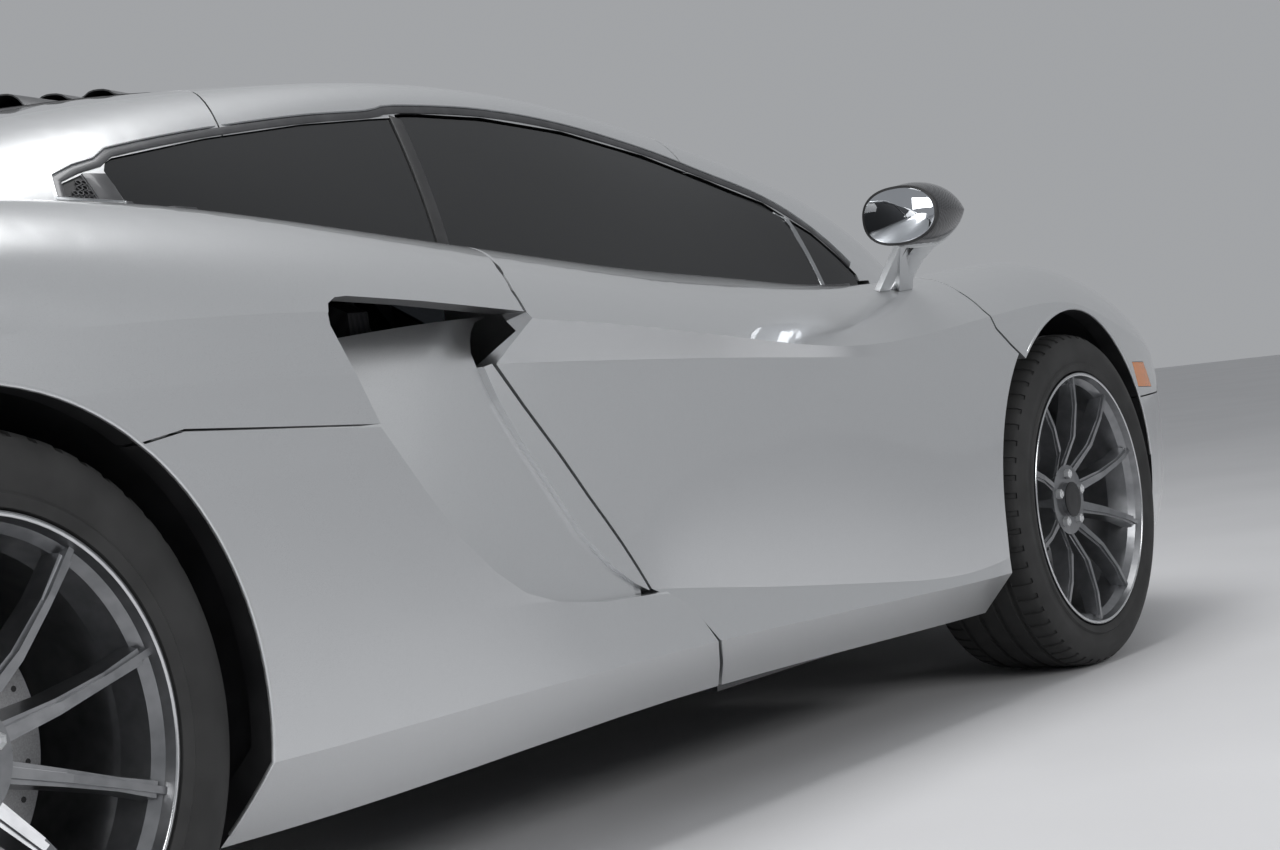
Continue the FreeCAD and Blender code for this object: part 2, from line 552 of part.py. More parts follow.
airbrake_hole = airbrake_column(SHUT_GAP)
tail_mouth = box(TAIL_X - 60, TAIL_X + 260, -540, 540, 500, 790)
rear_tow_hole = Part.makeCylinder(TOW_HOLE_RADIUS, 100, V(TAIL_X - 20, 450, 430), V(1, 0, 0))
lamp_block = box(TAIL_X - 10, TAIL_X + 150, 556, 900, 700, 724)
lamp_holes = both_sides(box(TAIL_X - 10, TAIL_X + 152, 554, 900, 698, 726))
keep("tail_lamps", both_sides(haunch_skin.common(lamp_block)))
rear_bumper = haunch_skin.common(tail_zone).cut(
    Part.makeCompound([rear_arches, airbrake_hole, tail_mouth, rear_tow_hole] + lamp_holes.Solids))
keep("rear_bumper", rear_bumper)
keep("airbrake", haunch_skin.common(airbrake_column(0.0)))
deck_zone = box(-1960, -380, -470 + PANEL_GAP, 470 - PANEL_GAP, 600, 1300)
deck = haunch_skin.common(deck_zone).cut(GLASSHOUSE)
keep("rear_deck", deck)

# Roof shell with its windows cut
glass_skin = GLASSHOUSE.cut(GLASSHOUSE_INNER)
WINDSCREEN_PLAN = [(420, -415), (980, -575), (1190, -520), (1290, -300), (1310, 0), (1290, 300),
                   (1190, 520), (980, 575), (420, 415)]
DOOR_PANE = [(-395, 700), (-205, 1101), (-179, 1104), (7, 1102), (210, 1082), (410, 1041), (545, 997),
             (675, 946), (760, 884), (830, 800), (830, 700)]
QUARTER_PANE = [(-922, 700), (-922, 996), (-910, 1008), (-893, 1015), (-688, 1050), (-450, 1081),
                (-280, 1096), (-223, 1100), (-413, 700)]
SIDE_VENT = [(-1016, 700), (-1016, 955), (-1005, 978), (-965, 990), (-965, 700)]
PILLAR_FOOT = box(825, 875, 640, FAR, 700, 790)


def windscreen_column(gap):
    ring = [V(x, y, 500) for x, y in WINDSCREEN_PLAN]
    ring.append(ring[0])
    wire = Part.makePolygon(ring)
    if abs(gap) > 0:
        wire = wire.makeOffset2D(gap, 2, False, False)
    return Part.Face(wire).extrude(V(0, 0, 900))


def pane_column(outline, gap):
    return side_prism(offset_outline(outline, gap) if gap else outline, 200, FAR)


COVER_FRONT_X = -430.0
COVER_REAR_X = -1560.0
COVER_FRONT_HALF = 330.0
COVER_REAR_HALF = 430.0
COVER_WALL = 20.0
COVER_FLANGE = 20.0


def cover_column(gap, z0):
    """Column over the engine cover's plan, grown by gap."""
    front_x, rear_x = COVER_FRONT_X + gap, COVER_REAR_X - gap
    front_half, rear_half = COVER_FRONT_HALF + gap, COVER_REAR_HALF + gap
    return plan_prism([(front_x, -front_half), (rear_x, -rear_half), (rear_x, rear_half), (front_x, front_half)],
                      z0, 1300)


# Thin seams across the roof rails, as shallow grooves: plan points of their two ends
SEAM_WIDTH = 3.0
ROOF_SEAMS = [((-520, 330), (-650, 570)), ((500, 470), (516, 560))]


def seam_column(start, stop):
    """Narrow column over a line of the plan, for one seam."""
    way = V(stop[0] - start[0], stop[1] - start[1], 0)
    way.normalize()
    side = V(-way.y, way.x, 0) * (SEAM_WIDTH / 2.0)
    corners = [(start[0] + side.x, start[1] + side.y), (stop[0] + side.x, stop[1] + side.y),
               (stop[0] - side.x, stop[1] - side.y), (start[0] - side.x, start[1] - side.y)]
    return plan_prism(corners, 700, 1300)


glass_outer = glasshouse_solid(GLASS_SINK)
glass_inner = glasshouse_solid(GLASS_SINK + GLASS_WALL)
seams = [seam_column(start, stop).cut(glass_inner) for start, stop in ROOF_SEAMS]
shell = glass_skin.cut(OUTER_HAUNCH)
window_holes = pane_column(DOOR_PANE, SHUT_GAP + 1.0).Solids + pane_column(QUARTER_PANE, FIT).Solids
window_holes += pane_column(SIDE_VENT, FIT).Solids
side_holes = window_holes + seams + [PILLAR_FOOT]
shell = shell.cut([windscreen_column(FIT), cover_column(PANEL_GAP, 700)])
keep("roof_shell", shell.cut(side_holes + [mirrored(piece) for piece in side_holes]))

# Engine cover, flush with the roof skin, on a flange below it; its slots pass through behind the rear
# window and are blind ahead of it
SLOT_PITCH = 90.0
SLOT_LENGTH = 50.0
SLOT_HALF = 36.0
SLOT_Y = 262.0
BLIND_SLOTS = (0, 1)
OPEN_SLOTS = (3, 4, 5, 6, 7, 8, 9)


def slot_column(k, side):
    front_x = COVER_FRONT_X - SLOT_LENGTH - SLOT_PITCH * k
    return box(front_x - SLOT_LENGTH, front_x, side * SLOT_Y - SLOT_HALF, side * SLOT_Y + SLOT_HALF, 700, 1300)


COVER_WINDOW = box(-1250, -720, -190, 190, 700, 1300)
cover = GLASSHOUSE.common(cover_column(0.0, 880)).fuse(
    glasshouse_solid(SKIN + FIT).common(cover_column(COVER_FLANGE, 880)))
cover = cover.cut([glasshouse_solid(SKIN + FIT + COVER_WALL),
                   glasshouse_solid(COVER_WALL).common(cover_column(-COVER_FLANGE, 700))])
slots = [slot_column(k, side) for k in OPEN_SLOTS for side in (-1, 1)]
slots += [slot_column(k, side).cut(glass_inner) for k in BLIND_SLOTS for side in (-1, 1)]
cover = cover.cut([COVER_WINDOW] + slots)
keep("engine_cover", cover)
rear_window = box(CABIN_REAR_X - 12, CABIN_REAR_X - 6, -520, 520, 850 + FIT, 1180).common(
    glasshouse_solid(SKIN + COVER_WALL + 2 * FIT))
keep("rear_window", rear_window)
vent = glass_outer.common(pane_column(SIDE_VENT, 0.0)).cut([glass_inner, OUTER_HAUNCH])
keep("side_vents", both_sides(vent))

keep("windscreen", glass_outer.common(windscreen_column(0.0)).cut(glass_inner).cut(OUTER_HAUNCH))
pane_columns = Part.makeCompound([pane_column(DOOR_PANE, 0.0), pane_column(QUARTER_PANE, 0.0)])
panes = glass_outer.common(pane_columns).cut(glass_inner).cut([OUTER_HAUNCH, SEAT_FACE]).Solids
panes.sort(key=lambda pane: pane.CenterOfMass.x)
keep("quarter_glass", both_sides(panes[0]))
keep("door_glass_left", panes[-1])
keep("door_glass_right", mirrored(panes[-1]))

# Tub: floor, sills, bulkheads and end frames, inside the skins; plans and fronts give half outlines
BULKHEAD = 40.0
WEB_BOTTOM = 222.0
LOW_FLOOR = [(-1180, 440), (-1070, 500), (-1040, 553), (800, 600), (815, 480), (1490, 480)]
SILL_FLOOR = [(-55, SILL_OUTER_Y), (800, SILL_OUTER_Y)]
REAR_BULKHEAD = [(0, FLOOR_BOTTOM + 60), (540, FLOOR_BOTTOM + 60), (560, WEB_BOTTOM), (780, WEB_BOTTOM),
                 (780, 785), (640, 850), (0, 850)]
FRONT_BULKHEAD = [(0, FLOOR_BOTTOM + 40), (480, FLOOR_BOTTOM + 40), (480, 735), (0, 735)]
LUGGAGE_HALF = 420.0
LUGGAGE_FLOOR = 300.0
NOSE_FRAME_X = 1900.0
TAIL_FRAME_X = -1960.0


def full_plan(half, z0, z1):
    """Plate over a plan given by its left half outline, from z0 to z1."""
    return plan_prism(half + [(x, -y) for x, y in reversed(half)], z0, z1)


def full_front(half, x0, x1):
    """Wall over a front view given by its left half outline of y, z points, from x0 to x1."""
    ring = [V(x0, y, z) for y, z in half + [(-y, z) for y, z in reversed(half[1:-1])]]
    ring.append(ring[0])
    return Part.Face(Part.makePolygon(ring)).extrude(V(x1 - x0, 0, 0))


tub_middle = [
    full_plan(LOW_FLOOR, FLOOR_BOTTOM, FLOOR_TOP),
    full_plan(SILL_FLOOR, FLOOR_BOTTOM + 40, FLOOR_TOP),
    full_front(REAR_BULKHEAD, CABIN_REAR_X - BULKHEAD, CABIN_REAR_X),
    full_front(FRONT_BULKHEAD, CABIN_FRONT_X, CABIN_FRONT_X + BULKHEAD),
    box(NOSE_FRAME_X - BULKHEAD, NOSE_FRAME_X, -480, 480, FLOOR_TOP - 35, 560),
    box(CABIN_FRONT_X, NOSE_FRAME_X, -480, 480, FLOOR_TOP - 35, LUGGAGE_FLOOR),
    box(TAIL_FRAME_X, -1160, -440, 440, 210, LUGGAGE_FLOOR),
    box(TAIL_FRAME_X, TAIL_FRAME_X + BULKHEAD, -600, 600, LUGGAGE_FLOOR + 15, 760),
    box(TAIL_FRAME_X, TAIL_FRAME_X + BULKHEAD, -440, 440, LUGGAGE_FLOOR - 5, LUGGAGE_FLOOR + 20),
    box(2050, 2080, -520, 520, 290, 370)]
tub_side = [
    box(-1040, 800, SILL_INNER_Y, SILL_OUTER_Y, 290, SILL_TOP),
    box(-1040, 800, SILL_INNER_Y, SILL_OUTER_Y - 25, WEB_BOTTOM, 300),
    box(-55, 800, SILL_INNER_Y, SILL_OUTER_Y, FLOOR_TOP - 10, WEB_BOTTOM + 10),
    box(-1040, -60, 480, SILL_INNER_Y + 10, WEB_BOTTOM, WEB_BOTTOM + 12),
    box(-1040, -60, 480, 553, FLOOR_TOP - 10, WEB_BOTTOM + 10),
    box(CABIN_FRONT_X, NOSE_FRAME_X, LUGGAGE_HALF, 480, LUGGAGE_FLOOR - 10, 560),
    box(-1660, -1270, 400, 480, 210, 490),
    box(NOSE_FRAME_X - 10, 2060, 410, 490, 290, 370)]
tub_right = [mirrored(piece) for piece in tub_side]

# Threaded sockets for the towing eyes and round pads for the jack
TOW_SOCKET_RADIUS = 20.0
TOW_THREAD_RADIUS = 8.0
TOW_THREAD_DEPTH = 60.0
FRONT_TOW = V(2110, -450, 330)
REAR_TOW = V(-2205, 450, 430)
JACK_PADS = [(-940, 480), (700, 520)]
JACK_PAD_RADIUS = 38.0
JACK_PAD_DROP = 10.0
sockets = [Part.makeCylinder(TOW_SOCKET_RADIUS, 60, V(2050, FRONT_TOW.y, FRONT_TOW.z), V(1, 0, 0)),
           Part.makeCylinder(TOW_SOCKET_RADIUS, 255, V(-1950, REAR_TOW.y, REAR_TOW.z), V(-1, 0, 0))]
threads = [Part.makeCylinder(TOW_THREAD_RADIUS, TOW_THREAD_DEPTH, FRONT_TOW, V(-1, 0, 0)),
           Part.makeCylinder(TOW_THREAD_RADIUS, TOW_THREAD_DEPTH, REAR_TOW, V(1, 0, 0))]
pads = [Part.makeCylinder(JACK_PAD_RADIUS, JACK_PAD_DROP + 5, V(x, side * y, FLOOR_BOTTOM - JACK_PAD_DROP))
        for x, y in JACK_PADS for side in (-1, 1)]

# What the doors, the lid and the airbrake rest against when shut
DOOR_STOPS = [(-100, -60), (600, 640)]
LID_STOP = (1880, 300)
BRAKE_STOP = (-2095, 200)
STOP_RADIUS = 14.0
stops = [box(x0, x1, SILL_OUTER_Y - 1, SILL_OUTER_Y + SHUT_GAP - FIT, 330, 370) for x0, x1 in DOOR_STOPS]
lid_stop = Part.makeCylinder(STOP_RADIUS, 200, V(LID_STOP[0], LID_STOP[1], 550))
stops.append(lid_stop.common(FRAME_ENVELOPE))
brake_stop = Part.makeCylinder(STOP_RADIUS, 300, V(BRAKE_STOP[0], BRAKE_STOP[1], 700))
stops.append(brake_stop.common(REAR_ENVELOPE))
stops.append(box(BRAKE_STOP[0] - STOP_RADIUS, TAIL_FRAME_X + 5, BRAKE_STOP[1] - STOP_RADIUS,
                 BRAKE_STOP[1] + STOP_RADIUS, 700, 725))
stops += [mirrored(piece) for piece in stops]
tub = tub_middle[0].fuse(tub_middle[1:] + tub_side + tub_right + sockets + pads + stops)
shaft_tunnel = cross_cylinder(REAR_AXLE_X, REAR_HUB_Z, SHAFT_RADIUS + 40, -600, 600)
tub = tub.removeSplitter().cut(Part.makeCompound(threads + [shaft_tunnel]))
keep("tub", tub)

# Engine, seen through its cover
engine = box(-1150, -720, -230, 230, FLOOR_TOP + FIT, 700).fuse([
    box(-1100, -760, -330, -150, 480, 780), box(-1100, -760, 150, 330, 480, 780),
    box(-1560, -1140, -170, 170, LUGGAGE_FLOOR + FIT, 560)])
engine = engine.cut(box(TAIL_FRAME_X, -1160 + FIT, -500, 500, 200, LUGGAGE_FLOOR + FIT))
keep("engine_block", engine.removeSplitter())

# Wheel well liners
def well_liner(axle_x, hub_z, radius):
    outer_r = radius + LINER_STEP + LINER_WALL
    inner_r = radius + LINER_STEP
    ring = cross_cylinder(axle_x, hub_z, outer_r, WELL_INNER_Y + FIT, 960)
    ring = ring.cut(cross_cylinder(axle_x, hub_z, inner_r, WELL_INNER_Y + LINER_WALL + FIT, 1000))
    return ring.cut(box(axle_x - 500, axle_x + 500, 400, 1100, -100, FLOOR_TOP - 20))


front_liner = well_liner(FRONT_AXLE_X, FRONT_HUB_Z, FRONT_ARCH_RADIUS).common(FRAME_ENVELOPE)
rear_liner = well_liner(REAR_AXLE_X, REAR_HUB_Z, REAR_ARCH_RADIUS).common(REAR_ENVELOPE)
rear_axle_slot = box(REAR_AXLE_X - 190, REAR_AXLE_X + 190, 400, 700, 190, 510)
front_axle_slot = box(FRONT_AXLE_X - 190, FRONT_AXLE_X + 190, 400, 700, 170, 490)
keep("front_well_liners", both_sides(front_liner.cut(front_axle_slot)))
keep("rear_well_liners", both_sides(rear_liner.cut(rear_axle_slot)))


HUB_RADIUS = 68.0
HUB_SINK = 60.0
HUB_DEPTH = 40.0


def disc_inner_y(spec):
    """Inboard face of the brake disc, from the wheel's mid-plane."""
    return spec["rim_width"] / 2.0 - HUB_SINK - HUB_DEPTH - BELL_DEPTH - FIT


TYRE_SEGMENTS = 48


def tyre_solid(spec):
    """Tyre as a ring of flat facets about the Y axis, centred on its mid-plane."""
    half = spec["section"] / 2.0
    tread = half - 14.0
    outer = spec["radius"]
    bead = spec["rim_radius"] - 2.0
    wall_mid = (outer + bead) / 2.0
    profile = [(-half + 16, bead), (-half + 3, bead + 14), (-half, wall_mid), (-half + 5, outer - 18),
               (-tread + 6, outer - 3), (-tread + 30, outer), (tread - 30, outer), (tread - 6, outer - 3),
               (half - 5, outer - 18), (half, wall_mid), (half - 3, bead + 14), (half - 16, bead)]
    turn = 2.0 * math.pi / TYRE_SEGMENTS
    rings = []
    for k in range(TYRE_SEGMENTS):
        across, up = math.sin(turn * k), -math.cos(turn * k)
        rings.append([V(radius * across, y, radius * up) for y, radius in profile])
    faces = []
    for k, ring in enumerate(rings):
        following = rings[(k + 1) % TYRE_SEGMENTS]
        for j in range(len(profile)):
            m = (j + 1) % len(profile)
            corners = [ring[j], ring[m], following[m], following[j], ring[j]]
            faces.append(Part.Face(Part.makePolygon(corners)))
    return Part.makeSolid(Part.makeShell(faces))


# Spokes: share of the way out, then width and depth of the body; width of the ridge on it
SPOKE_COUNT = 10
SPOKES = [(0.0, 34.0, 40.0, 16.0), (0.35, 26.0, 34.0, 13.0), (0.7, 21.0, 29.0, 11.0), (1.0, 26.0, 22.0, 11.0)]
SPOKE_STEP_SHARE = 0.9
RIDGE_DEPTH = 12.0
RIDGE_RISE = 4.0
FACE_SINK = 8.0
DISH = 44.0
BARREL_WALL = 7.0


def spoke_front(half, share):
    """Distance of the spokes' front from the wheel's mid-plane; the dish is deep at the hub."""
    return half - FACE_SINK - DISH * (1.0 - share)**3


def spoke_ring(radial, radius, width, front, depth, lean):
    """Section of a spoke: wide at its back and narrower at its front; lean moves its back inward."""
    across = V(-radial.z, 0, radial.x)
    corners = []
    for u, v in ((-0.5, -1.0), (0.5, -1.0), (0.36, 0.0), (-0.36, 0.0)):
        corners.append(radial * (radius + v * lean) + across * (u * width) + V(0, front + v * depth, 0))
    corners.append(corners[0])
    return Part.makePolygon(corners)


def rim_solid(spec):
    """Wheel with ten straight spokes, each a ridge on a wider body; its outer face looks to +Y."""
    half = spec["rim_width"] / 2.0
    lip = spec["rim_radius"] - 2.6
    well = lip - 22.0
    profile = [(-half, lip), (-half + 14, lip), (-half + 22, lip - 12), (-half + 60, well), (half - 60, well),
               (half - 22, lip - 12), (half - 14, lip), (half, lip), (half, lip - 6), (half - 12, lip - 10),
               (half - 24, lip - 20), (half - 62, well - BARREL_WALL), (-half + 62, well - BARREL_WALL),
               (-half + 24, lip - 20), (-half, lip - 12)]
    ring = [V(0, y, r) for y, r in profile]
    ring.append(ring[0])
    barrel = Part.Face(Part.makePolygon(ring)).revolve(V(0, 0, 0), V(0, 1, 0), 360)
    hub_y = half - HUB_SINK
    hub = Part.makeCylinder(HUB_RADIUS, HUB_DEPTH + 12.0, V(0, hub_y - HUB_DEPTH, 0), V(0, 1, 0))
    cap = Part.makeCylinder(33.0, 8.0, V(0, hub_y + 12.0, 0), V(0, 1, 0))
    pieces = [hub.fuse(cap)]
    root = HUB_RADIUS - 8.0
    step = SPOKE_STEP_SHARE * (lip - root)
    tip = lip - 7.0 - root
    for k in range(SPOKE_COUNT):
        angle = math.radians(90.0 + 360.0 * k / SPOKE_COUNT)
        radial = V(math.cos(angle), 0, math.sin(angle))
        bodies, ridges = [], []
        for share, width, depth, ridge in SPOKES:
            body_front = spoke_front(half, share * SPOKE_STEP_SHARE) - RIDGE_RISE
            bodies.append(spoke_ring(radial, root + step * share, width, body_front, depth, 0.0))
            ridge_front = spoke_front(half, share)
            ridges.append(spoke_ring(radial, root + tip * share, ridge, ridge_front, RIDGE_DEPTH, 5.0 * share))
        pieces.append(Part.makeLoft(bodies, True, True))
        pieces.append(Part.makeLoft(ridges, True, True))
    return barrel.fuse(pieces)


def disc_solid(spec, driven):
    """Brake disc with its bell, inboard of the spokes; a driven one carries its half shaft."""
    inner_y = disc_inner_y(spec)
    disc = Part.makeCylinder(spec["disc_radius"], DISC_WALL, V(0, inner_y, 0), V(0, 1, 0))
    bell = Part.makeCylinder(BELL_RADIUS, BELL_DEPTH, V(0, inner_y, 0), V(0, 1, 0))
    if driven:
        journal = Part.makeCylinder(PIN_RADIUS - PIN_PLAY, 100.0, V(0, inner_y - 100.0, 0), V(0, 1, 0))
        shaft = Part.makeCylinder(SHAFT_RADIUS, 330.0, V(0, inner_y - 430.0, 0), V(0, 1, 0))
        boot = Part.makeCone(30.0, 44.0, 60.0, V(0, inner_y - 175.0, 0), V(0, 1, 0))
        return disc.fuse([bell, journal, shaft, boot])
    bore = Part.makeCylinder(PIN_RADIUS, BELL_DEPTH, V(0, inner_y, 0), V(0, 1, 0))
    return disc.fuse(bell).cut(bore)


def caliper_solid(spec):
    """Caliper that straddles the rear edge of the disc, behind the axle."""
    inner_y = disc_inner_y(spec)
    y0 = inner_y - SHUT_GAP - CALIPER_CHEEK
    y1 = inner_y + DISC_WALL + SHUT_GAP + CALIPER_CHEEK
    outer = spec["disc_radius"] + CALIPER_RISE
    body = Part.makeCylinder(outer, y1 - y0, V(0, y0, 0), V(0, 1, 0))
    body = body.cut(Part.makeCylinder(CALIPER_REACH, y1 - y0, V(0, y0, 0), V(0, 1, 0)))
    span = math.radians(CALIPER_SPAN / 2.0)
    far = 2.0 * outer
    wedge = side_prism([(0, 0), (-far * math.cos(span), far * math.sin(span)),
                        (-far * math.cos(span), -far * math.sin(span))], y0, y1)
    slot = Part.makeCylinder(spec["disc_radius"] + SHUT_GAP, DISC_WALL + 2 * SHUT_GAP,
                             V(0, inner_y - SHUT_GAP, 0), V(0, 1, 0))
    return body.common(wedge).cut(slot)


def knuckle_solid(spec, driven, kingpin_y):
    """Upright with its hub bearing, ball joint bosses and caliper, about the wheel centre."""
    inner_y = disc_inner_y(spec)
    face = inner_y - SHUT_GAP
    bearing = Part.makeCylinder(BEARING_RADIUS, 95.0, V(0, face - 95.0, 0), V(0, 1, 0))
    upright = Part.makeBox(70.0, 34.0, 2 * BALL_HEIGHT - 30.0, V(-35.0, face - 46.0, -BALL_HEIGHT + 15.0))
    lug = Part.makeBox(140.0, 18.0, 90.0, V(-170.0, face - CALIPER_CHEEK, -45.0))
    pieces = [bearing, upright, lug, caliper_solid(spec)]
    for z in (BALL_HEIGHT - 15.0, -BALL_HEIGHT):
        pieces.append(Part.makeCylinder(19.0, 15.0, V(0, kingpin_y, z)))
        pieces.append(Part.makeBox(38.0, 60.0, 15.0, V(-19.0, kingpin_y - 50.0, z)))
    if not driven:
        pin_length = BELL_DEPTH + SHUT_GAP - 1.0
        pieces.append(Part.makeCylinder(PIN_RADIUS - PIN_PLAY, pin_length, V(0, face, 0), V(0, 1, 0)))
    solid = pieces[0].fuse(pieces[1:])
    if driven:
        solid = solid.cut(Part.makeCylinder(PIN_RADIUS, 200.0, V(0, face - 150.0, 0), V(0, 1, 0)))
    return solid


def arm_solid(spec, kingpin_y, z, inner_y, spread):
    """Wishbone from two inner bushes to the eye at the ball joint, in the car's frame."""
    eye = V(spec["x"], kingpin_y, z)
    pieces = [Part.makeCylinder(20.0, 20.0, eye + V(0, 0, -10.0))]
    for side in (-1, 1):
        foot = V(spec["x"] + side * spread, inner_y, z)
        tube = foot - eye
        pieces.append(Part.makeCylinder(ARM_TUBE_RADIUS, tube.Length, eye, tube))
        pieces.append(Part.makeCylinder(20.0, 50.0, foot + V(-25.0, 0, 0), V(1, 0, 0)))
    return pieces[0].fuse(pieces[1:])


def place_wheel(shape, spec, side):
    """Moves a wheel piece to its hub; the right side is the mirror image."""
    moved = shape.translated(V(spec["x"], spec["track"] / 2.0, spec["radius"]))
    return moved if side == "left" else mirrored(moved)


for axle, spec in WHEELS.items():
    driven = axle == "rear"
    pin_y = KINGPIN_Y - spec["track"] / 2.0 if axle == "front" else REAR_BALL_Y - spec["track"] / 2.0
    tyre, rim, disc = tyre_solid(spec), rim_solid(spec), disc_solid(spec, driven)
    knuckle = knuckle_solid(spec, driven, pin_y)
    for side in ("left", "right"):
        keep("tyre_%s_%s" % (axle, side), place_wheel(tyre, spec, side))
        keep("rim_%s_%s" % (axle, side), place_wheel(rim, spec, side))
        keep("disc_%s_%s" % (axle, side), place_wheel(disc, spec, side))
        if axle == "front":
            keep("knuckle_front_" + side, place_wheel(knuckle, spec, side))
    arms = [place_wheel(knuckle, spec, "left")] if driven else []
    for sign in (-1, 1):
        z = spec["radius"] + sign * (BALL_HEIGHT + 10.4)
        arms.append(arm_solid(spec, spec["track"] / 2.0 + pin_y, z, ARM_INNER_Y, ARM_SPREAD))
    keep("suspension_" + axle, both_sides(Part.makeCompound(arms)))

# Seats: a cushion and a back with side bolsters, in one shell
SEAT_Y = 350.0
SEAT_WIDTH = 460.0
SEAT_PROFILE = [(260, 250), (300, 330), (285, 372), (-150, 330), (-330, 700), (-385, 920), (-418, 932),
                (-458, 905), (-400, 650), (-270, 290), (-230, 240)]
BOLSTER_PROFILE = [(240, 300), (250, 400), (180, 425), (-100, 400), (-215, 520), (-290, 730), (-350, 735),
                   (-385, 650), (-270, 300)]
seat = side_prism(SEAT_PROFILE, SEAT_Y - SEAT_WIDTH / 2.0, SEAT_Y + SEAT_WIDTH / 2.0)
for y in (SEAT_Y - SEAT_WIDTH / 2.0 - 25.0, SEAT_Y + SEAT_WIDTH / 2.0 - 45.0):
    seat = seat.fuse(side_prism(BOLSTER_PROFILE, y, y + 70.0))
seat_runner = box(-200, 200, SEAT_Y - 120, SEAT_Y - 80, FLOOR_TOP + FIT, 262).fuse(
    box(-200, 200, SEAT_Y + 80, SEAT_Y + 120, FLOOR_TOP + FIT, 262))
seat = seat.fuse(seat_runner).translated(V(-60, 0, 0))
keep("seats", both_sides(seat))

# Dashboard, centre console, steering wheel and column, pedals
DASH_HALF = 684.0
DASH_PROFILE = [(640, 640), (690, 730), (800, 762), (1030, 700), (CABIN_FRONT_X - 1, 420), (900, 420),
                (760, 520), (650, 580)]
dash = side_prism(DASH_PROFILE, -DASH_HALF, DASH_HALF).cut(WELL_CLEAR.Solids)
CONSOLE_PROFILE = [(CABIN_REAR_X + 1, FLOOR_TOP + FIT), (CABIN_REAR_X + 1, 520), (-250, 500), (400, 470),
                   (700, 575), (760, 519), (880, 430), (880, FLOOR_TOP + FIT)]
console = side_prism(CONSOLE_PROFILE, -95, 95)
dash = dash.fuse(console).removeSplitter()
keep("dashboard", dash)

WHEEL_CENTRE = V(430.0, SEAT_Y, 700.0)
WHEEL_TILT = 24.0
steering = Part.makeTorus(178.0, 15.0, V(0, 0, 0), V(1, 0, 0))
steering = steering.fuse([
    Part.makeCylinder(62.0, 40.0, V(-10, 0, 0), V(1, 0, 0)),
    Part.makeBox(14.0, 360.0, 40.0, V(0, -180.0, -20.0)),
    Part.makeBox(14.0, 36.0, 170.0, V(0, -18.0, -175.0)),
    Part.makeCylinder(28.0, 260.0, V(20, 0, 0), V(1, 0, 0))])
steering.rotate(V(0, 0, 0), V(0, 1, 0), WHEEL_TILT)
keep("steering_wheel", steering.translated(WHEEL_CENTRE).cut(dash))

# Door mirrors, each on two legs from the top of the door
MIRROR_CENTRE = V(580.0, 966.0, 877.0)
MIRROR_HALF = (92.0, 80.0, 56.0)
MIRROR_SECTIONS = [(-58, 0.84), (-30, 0.97), (0, 1.0), (35, 0.92), (65, 0.68), (84, 0.38), (91, 0.12)]
MIRROR_FEET = [V(700, 800, 738), V(800, 800, 725)]
MIRROR_HEAD = V(600, 930, 842)
LEG_FOOT_HALF = 16.0
LEG_HEAD_HALF = 18.0
LEG_WALL = 11.0


def mirror_ring(dx, share):
    """Oval section of the mirror cap, as two arcs above and below its widest line."""
    half_y, half_z = MIRROR_HALF[1] * share, MIRROR_HALF[2] * share
    left = MIRROR_CENTRE + V(dx, half_y, 0)
    right = MIRROR_CENTRE + V(dx, -half_y, 0)
    top = MIRROR_CENTRE + V(dx, 0, half_z)
    bottom = MIRROR_CENTRE + V(dx, 0, -half_z)
    return Part.Wire([Part.Arc(left, top, right).toShape(), Part.Arc(right, bottom, left).toShape()])


def ring_of(points):
    return Part.makePolygon(points + [points[0]])


def leg(foot, head):
    """Flat blade from foot to head, its wide side along the car."""
    way = head.sub(foot)
    way.normalize()
    along = V(1, 0, 0) - way * way.x
    along.normalize()
    thick = way.cross(along)
    rings = []
    for place, half in ((foot, LEG_FOOT_HALF), (head, LEG_HEAD_HALF)):
        rings.append(ring_of([place + along * (s * half) + thick * (t * LEG_WALL / 2.0)
                              for s, t in ((-1, -1), (1, -1), (1, 1), (-1, 1))]))
    return Part.makeLoft(rings, True, True)


cap = Part.makeLoft([mirror_ring(dx, share) for dx, share in MIRROR_SECTIONS], True)
mirror = cap.fuse([leg(foot, MIRROR_HEAD) for foot in MIRROR_FEET]).cut(SEAT_FACE)
keep("mirror_left", mirror)
keep("mirror_right", mirrored(mirror))

# Tail: slats, exhausts, lamps and diffuser
SLAT_COUNT = 6
SLAT_PITCH = 44.0
SLAT_X = TAIL_X + SKIN + FIT
slats = []
for k in range(SLAT_COUNT):
    z = 520.0 + SLAT_PITCH * k
    slats.append(box(SLAT_X, SLAT_X + 30, -570, 570, z, z + 12))
for y in (-569, -400, -200, 0, 200, 400, 557):
    slats.append(box(SLAT_X, SLAT_X + 14, y, y + 12, 501, 789))
pipe_holes = [Part.makeCylinder(50 + FIT, 400, V(TAIL_X - 50, y, 650), V(1, 0, 0)) for y in (-110, 110)]
keep("rear_grille", slats[0].fuse(slats[1:]).cut(Part.makeCompound(pipe_holes)))
pipes = []
for y in (-110, 110):
    tube = Part.makeCylinder(50, TAIL_FRAME_X - TAIL_X - 4 - FIT, V(TAIL_X + 4, y, 650), V(1, 0, 0))
    pipes.append(tube.cut(Part.makeCylinder(44, 260, V(TAIL_X + 4, y, 650), V(1, 0, 0))))
keep("exhausts", Part.makeCompound(pipes))
DIFFUSER_PROFILE = [(-1180 - FIT, 131), (-1180 - FIT, 139), (TAIL_FRAME_X, 209.6), (-2190, 240), (-2190, 232),
                    (TAIL_FRAME_X, 201)]
FIN_PROFILE = [(-1640, 172), (-2190, 234), (-2190, 165), (-1900, 160), (-1700, 160)]
diffuser = side_prism(DIFFUSER_PROFILE, -430, 430)
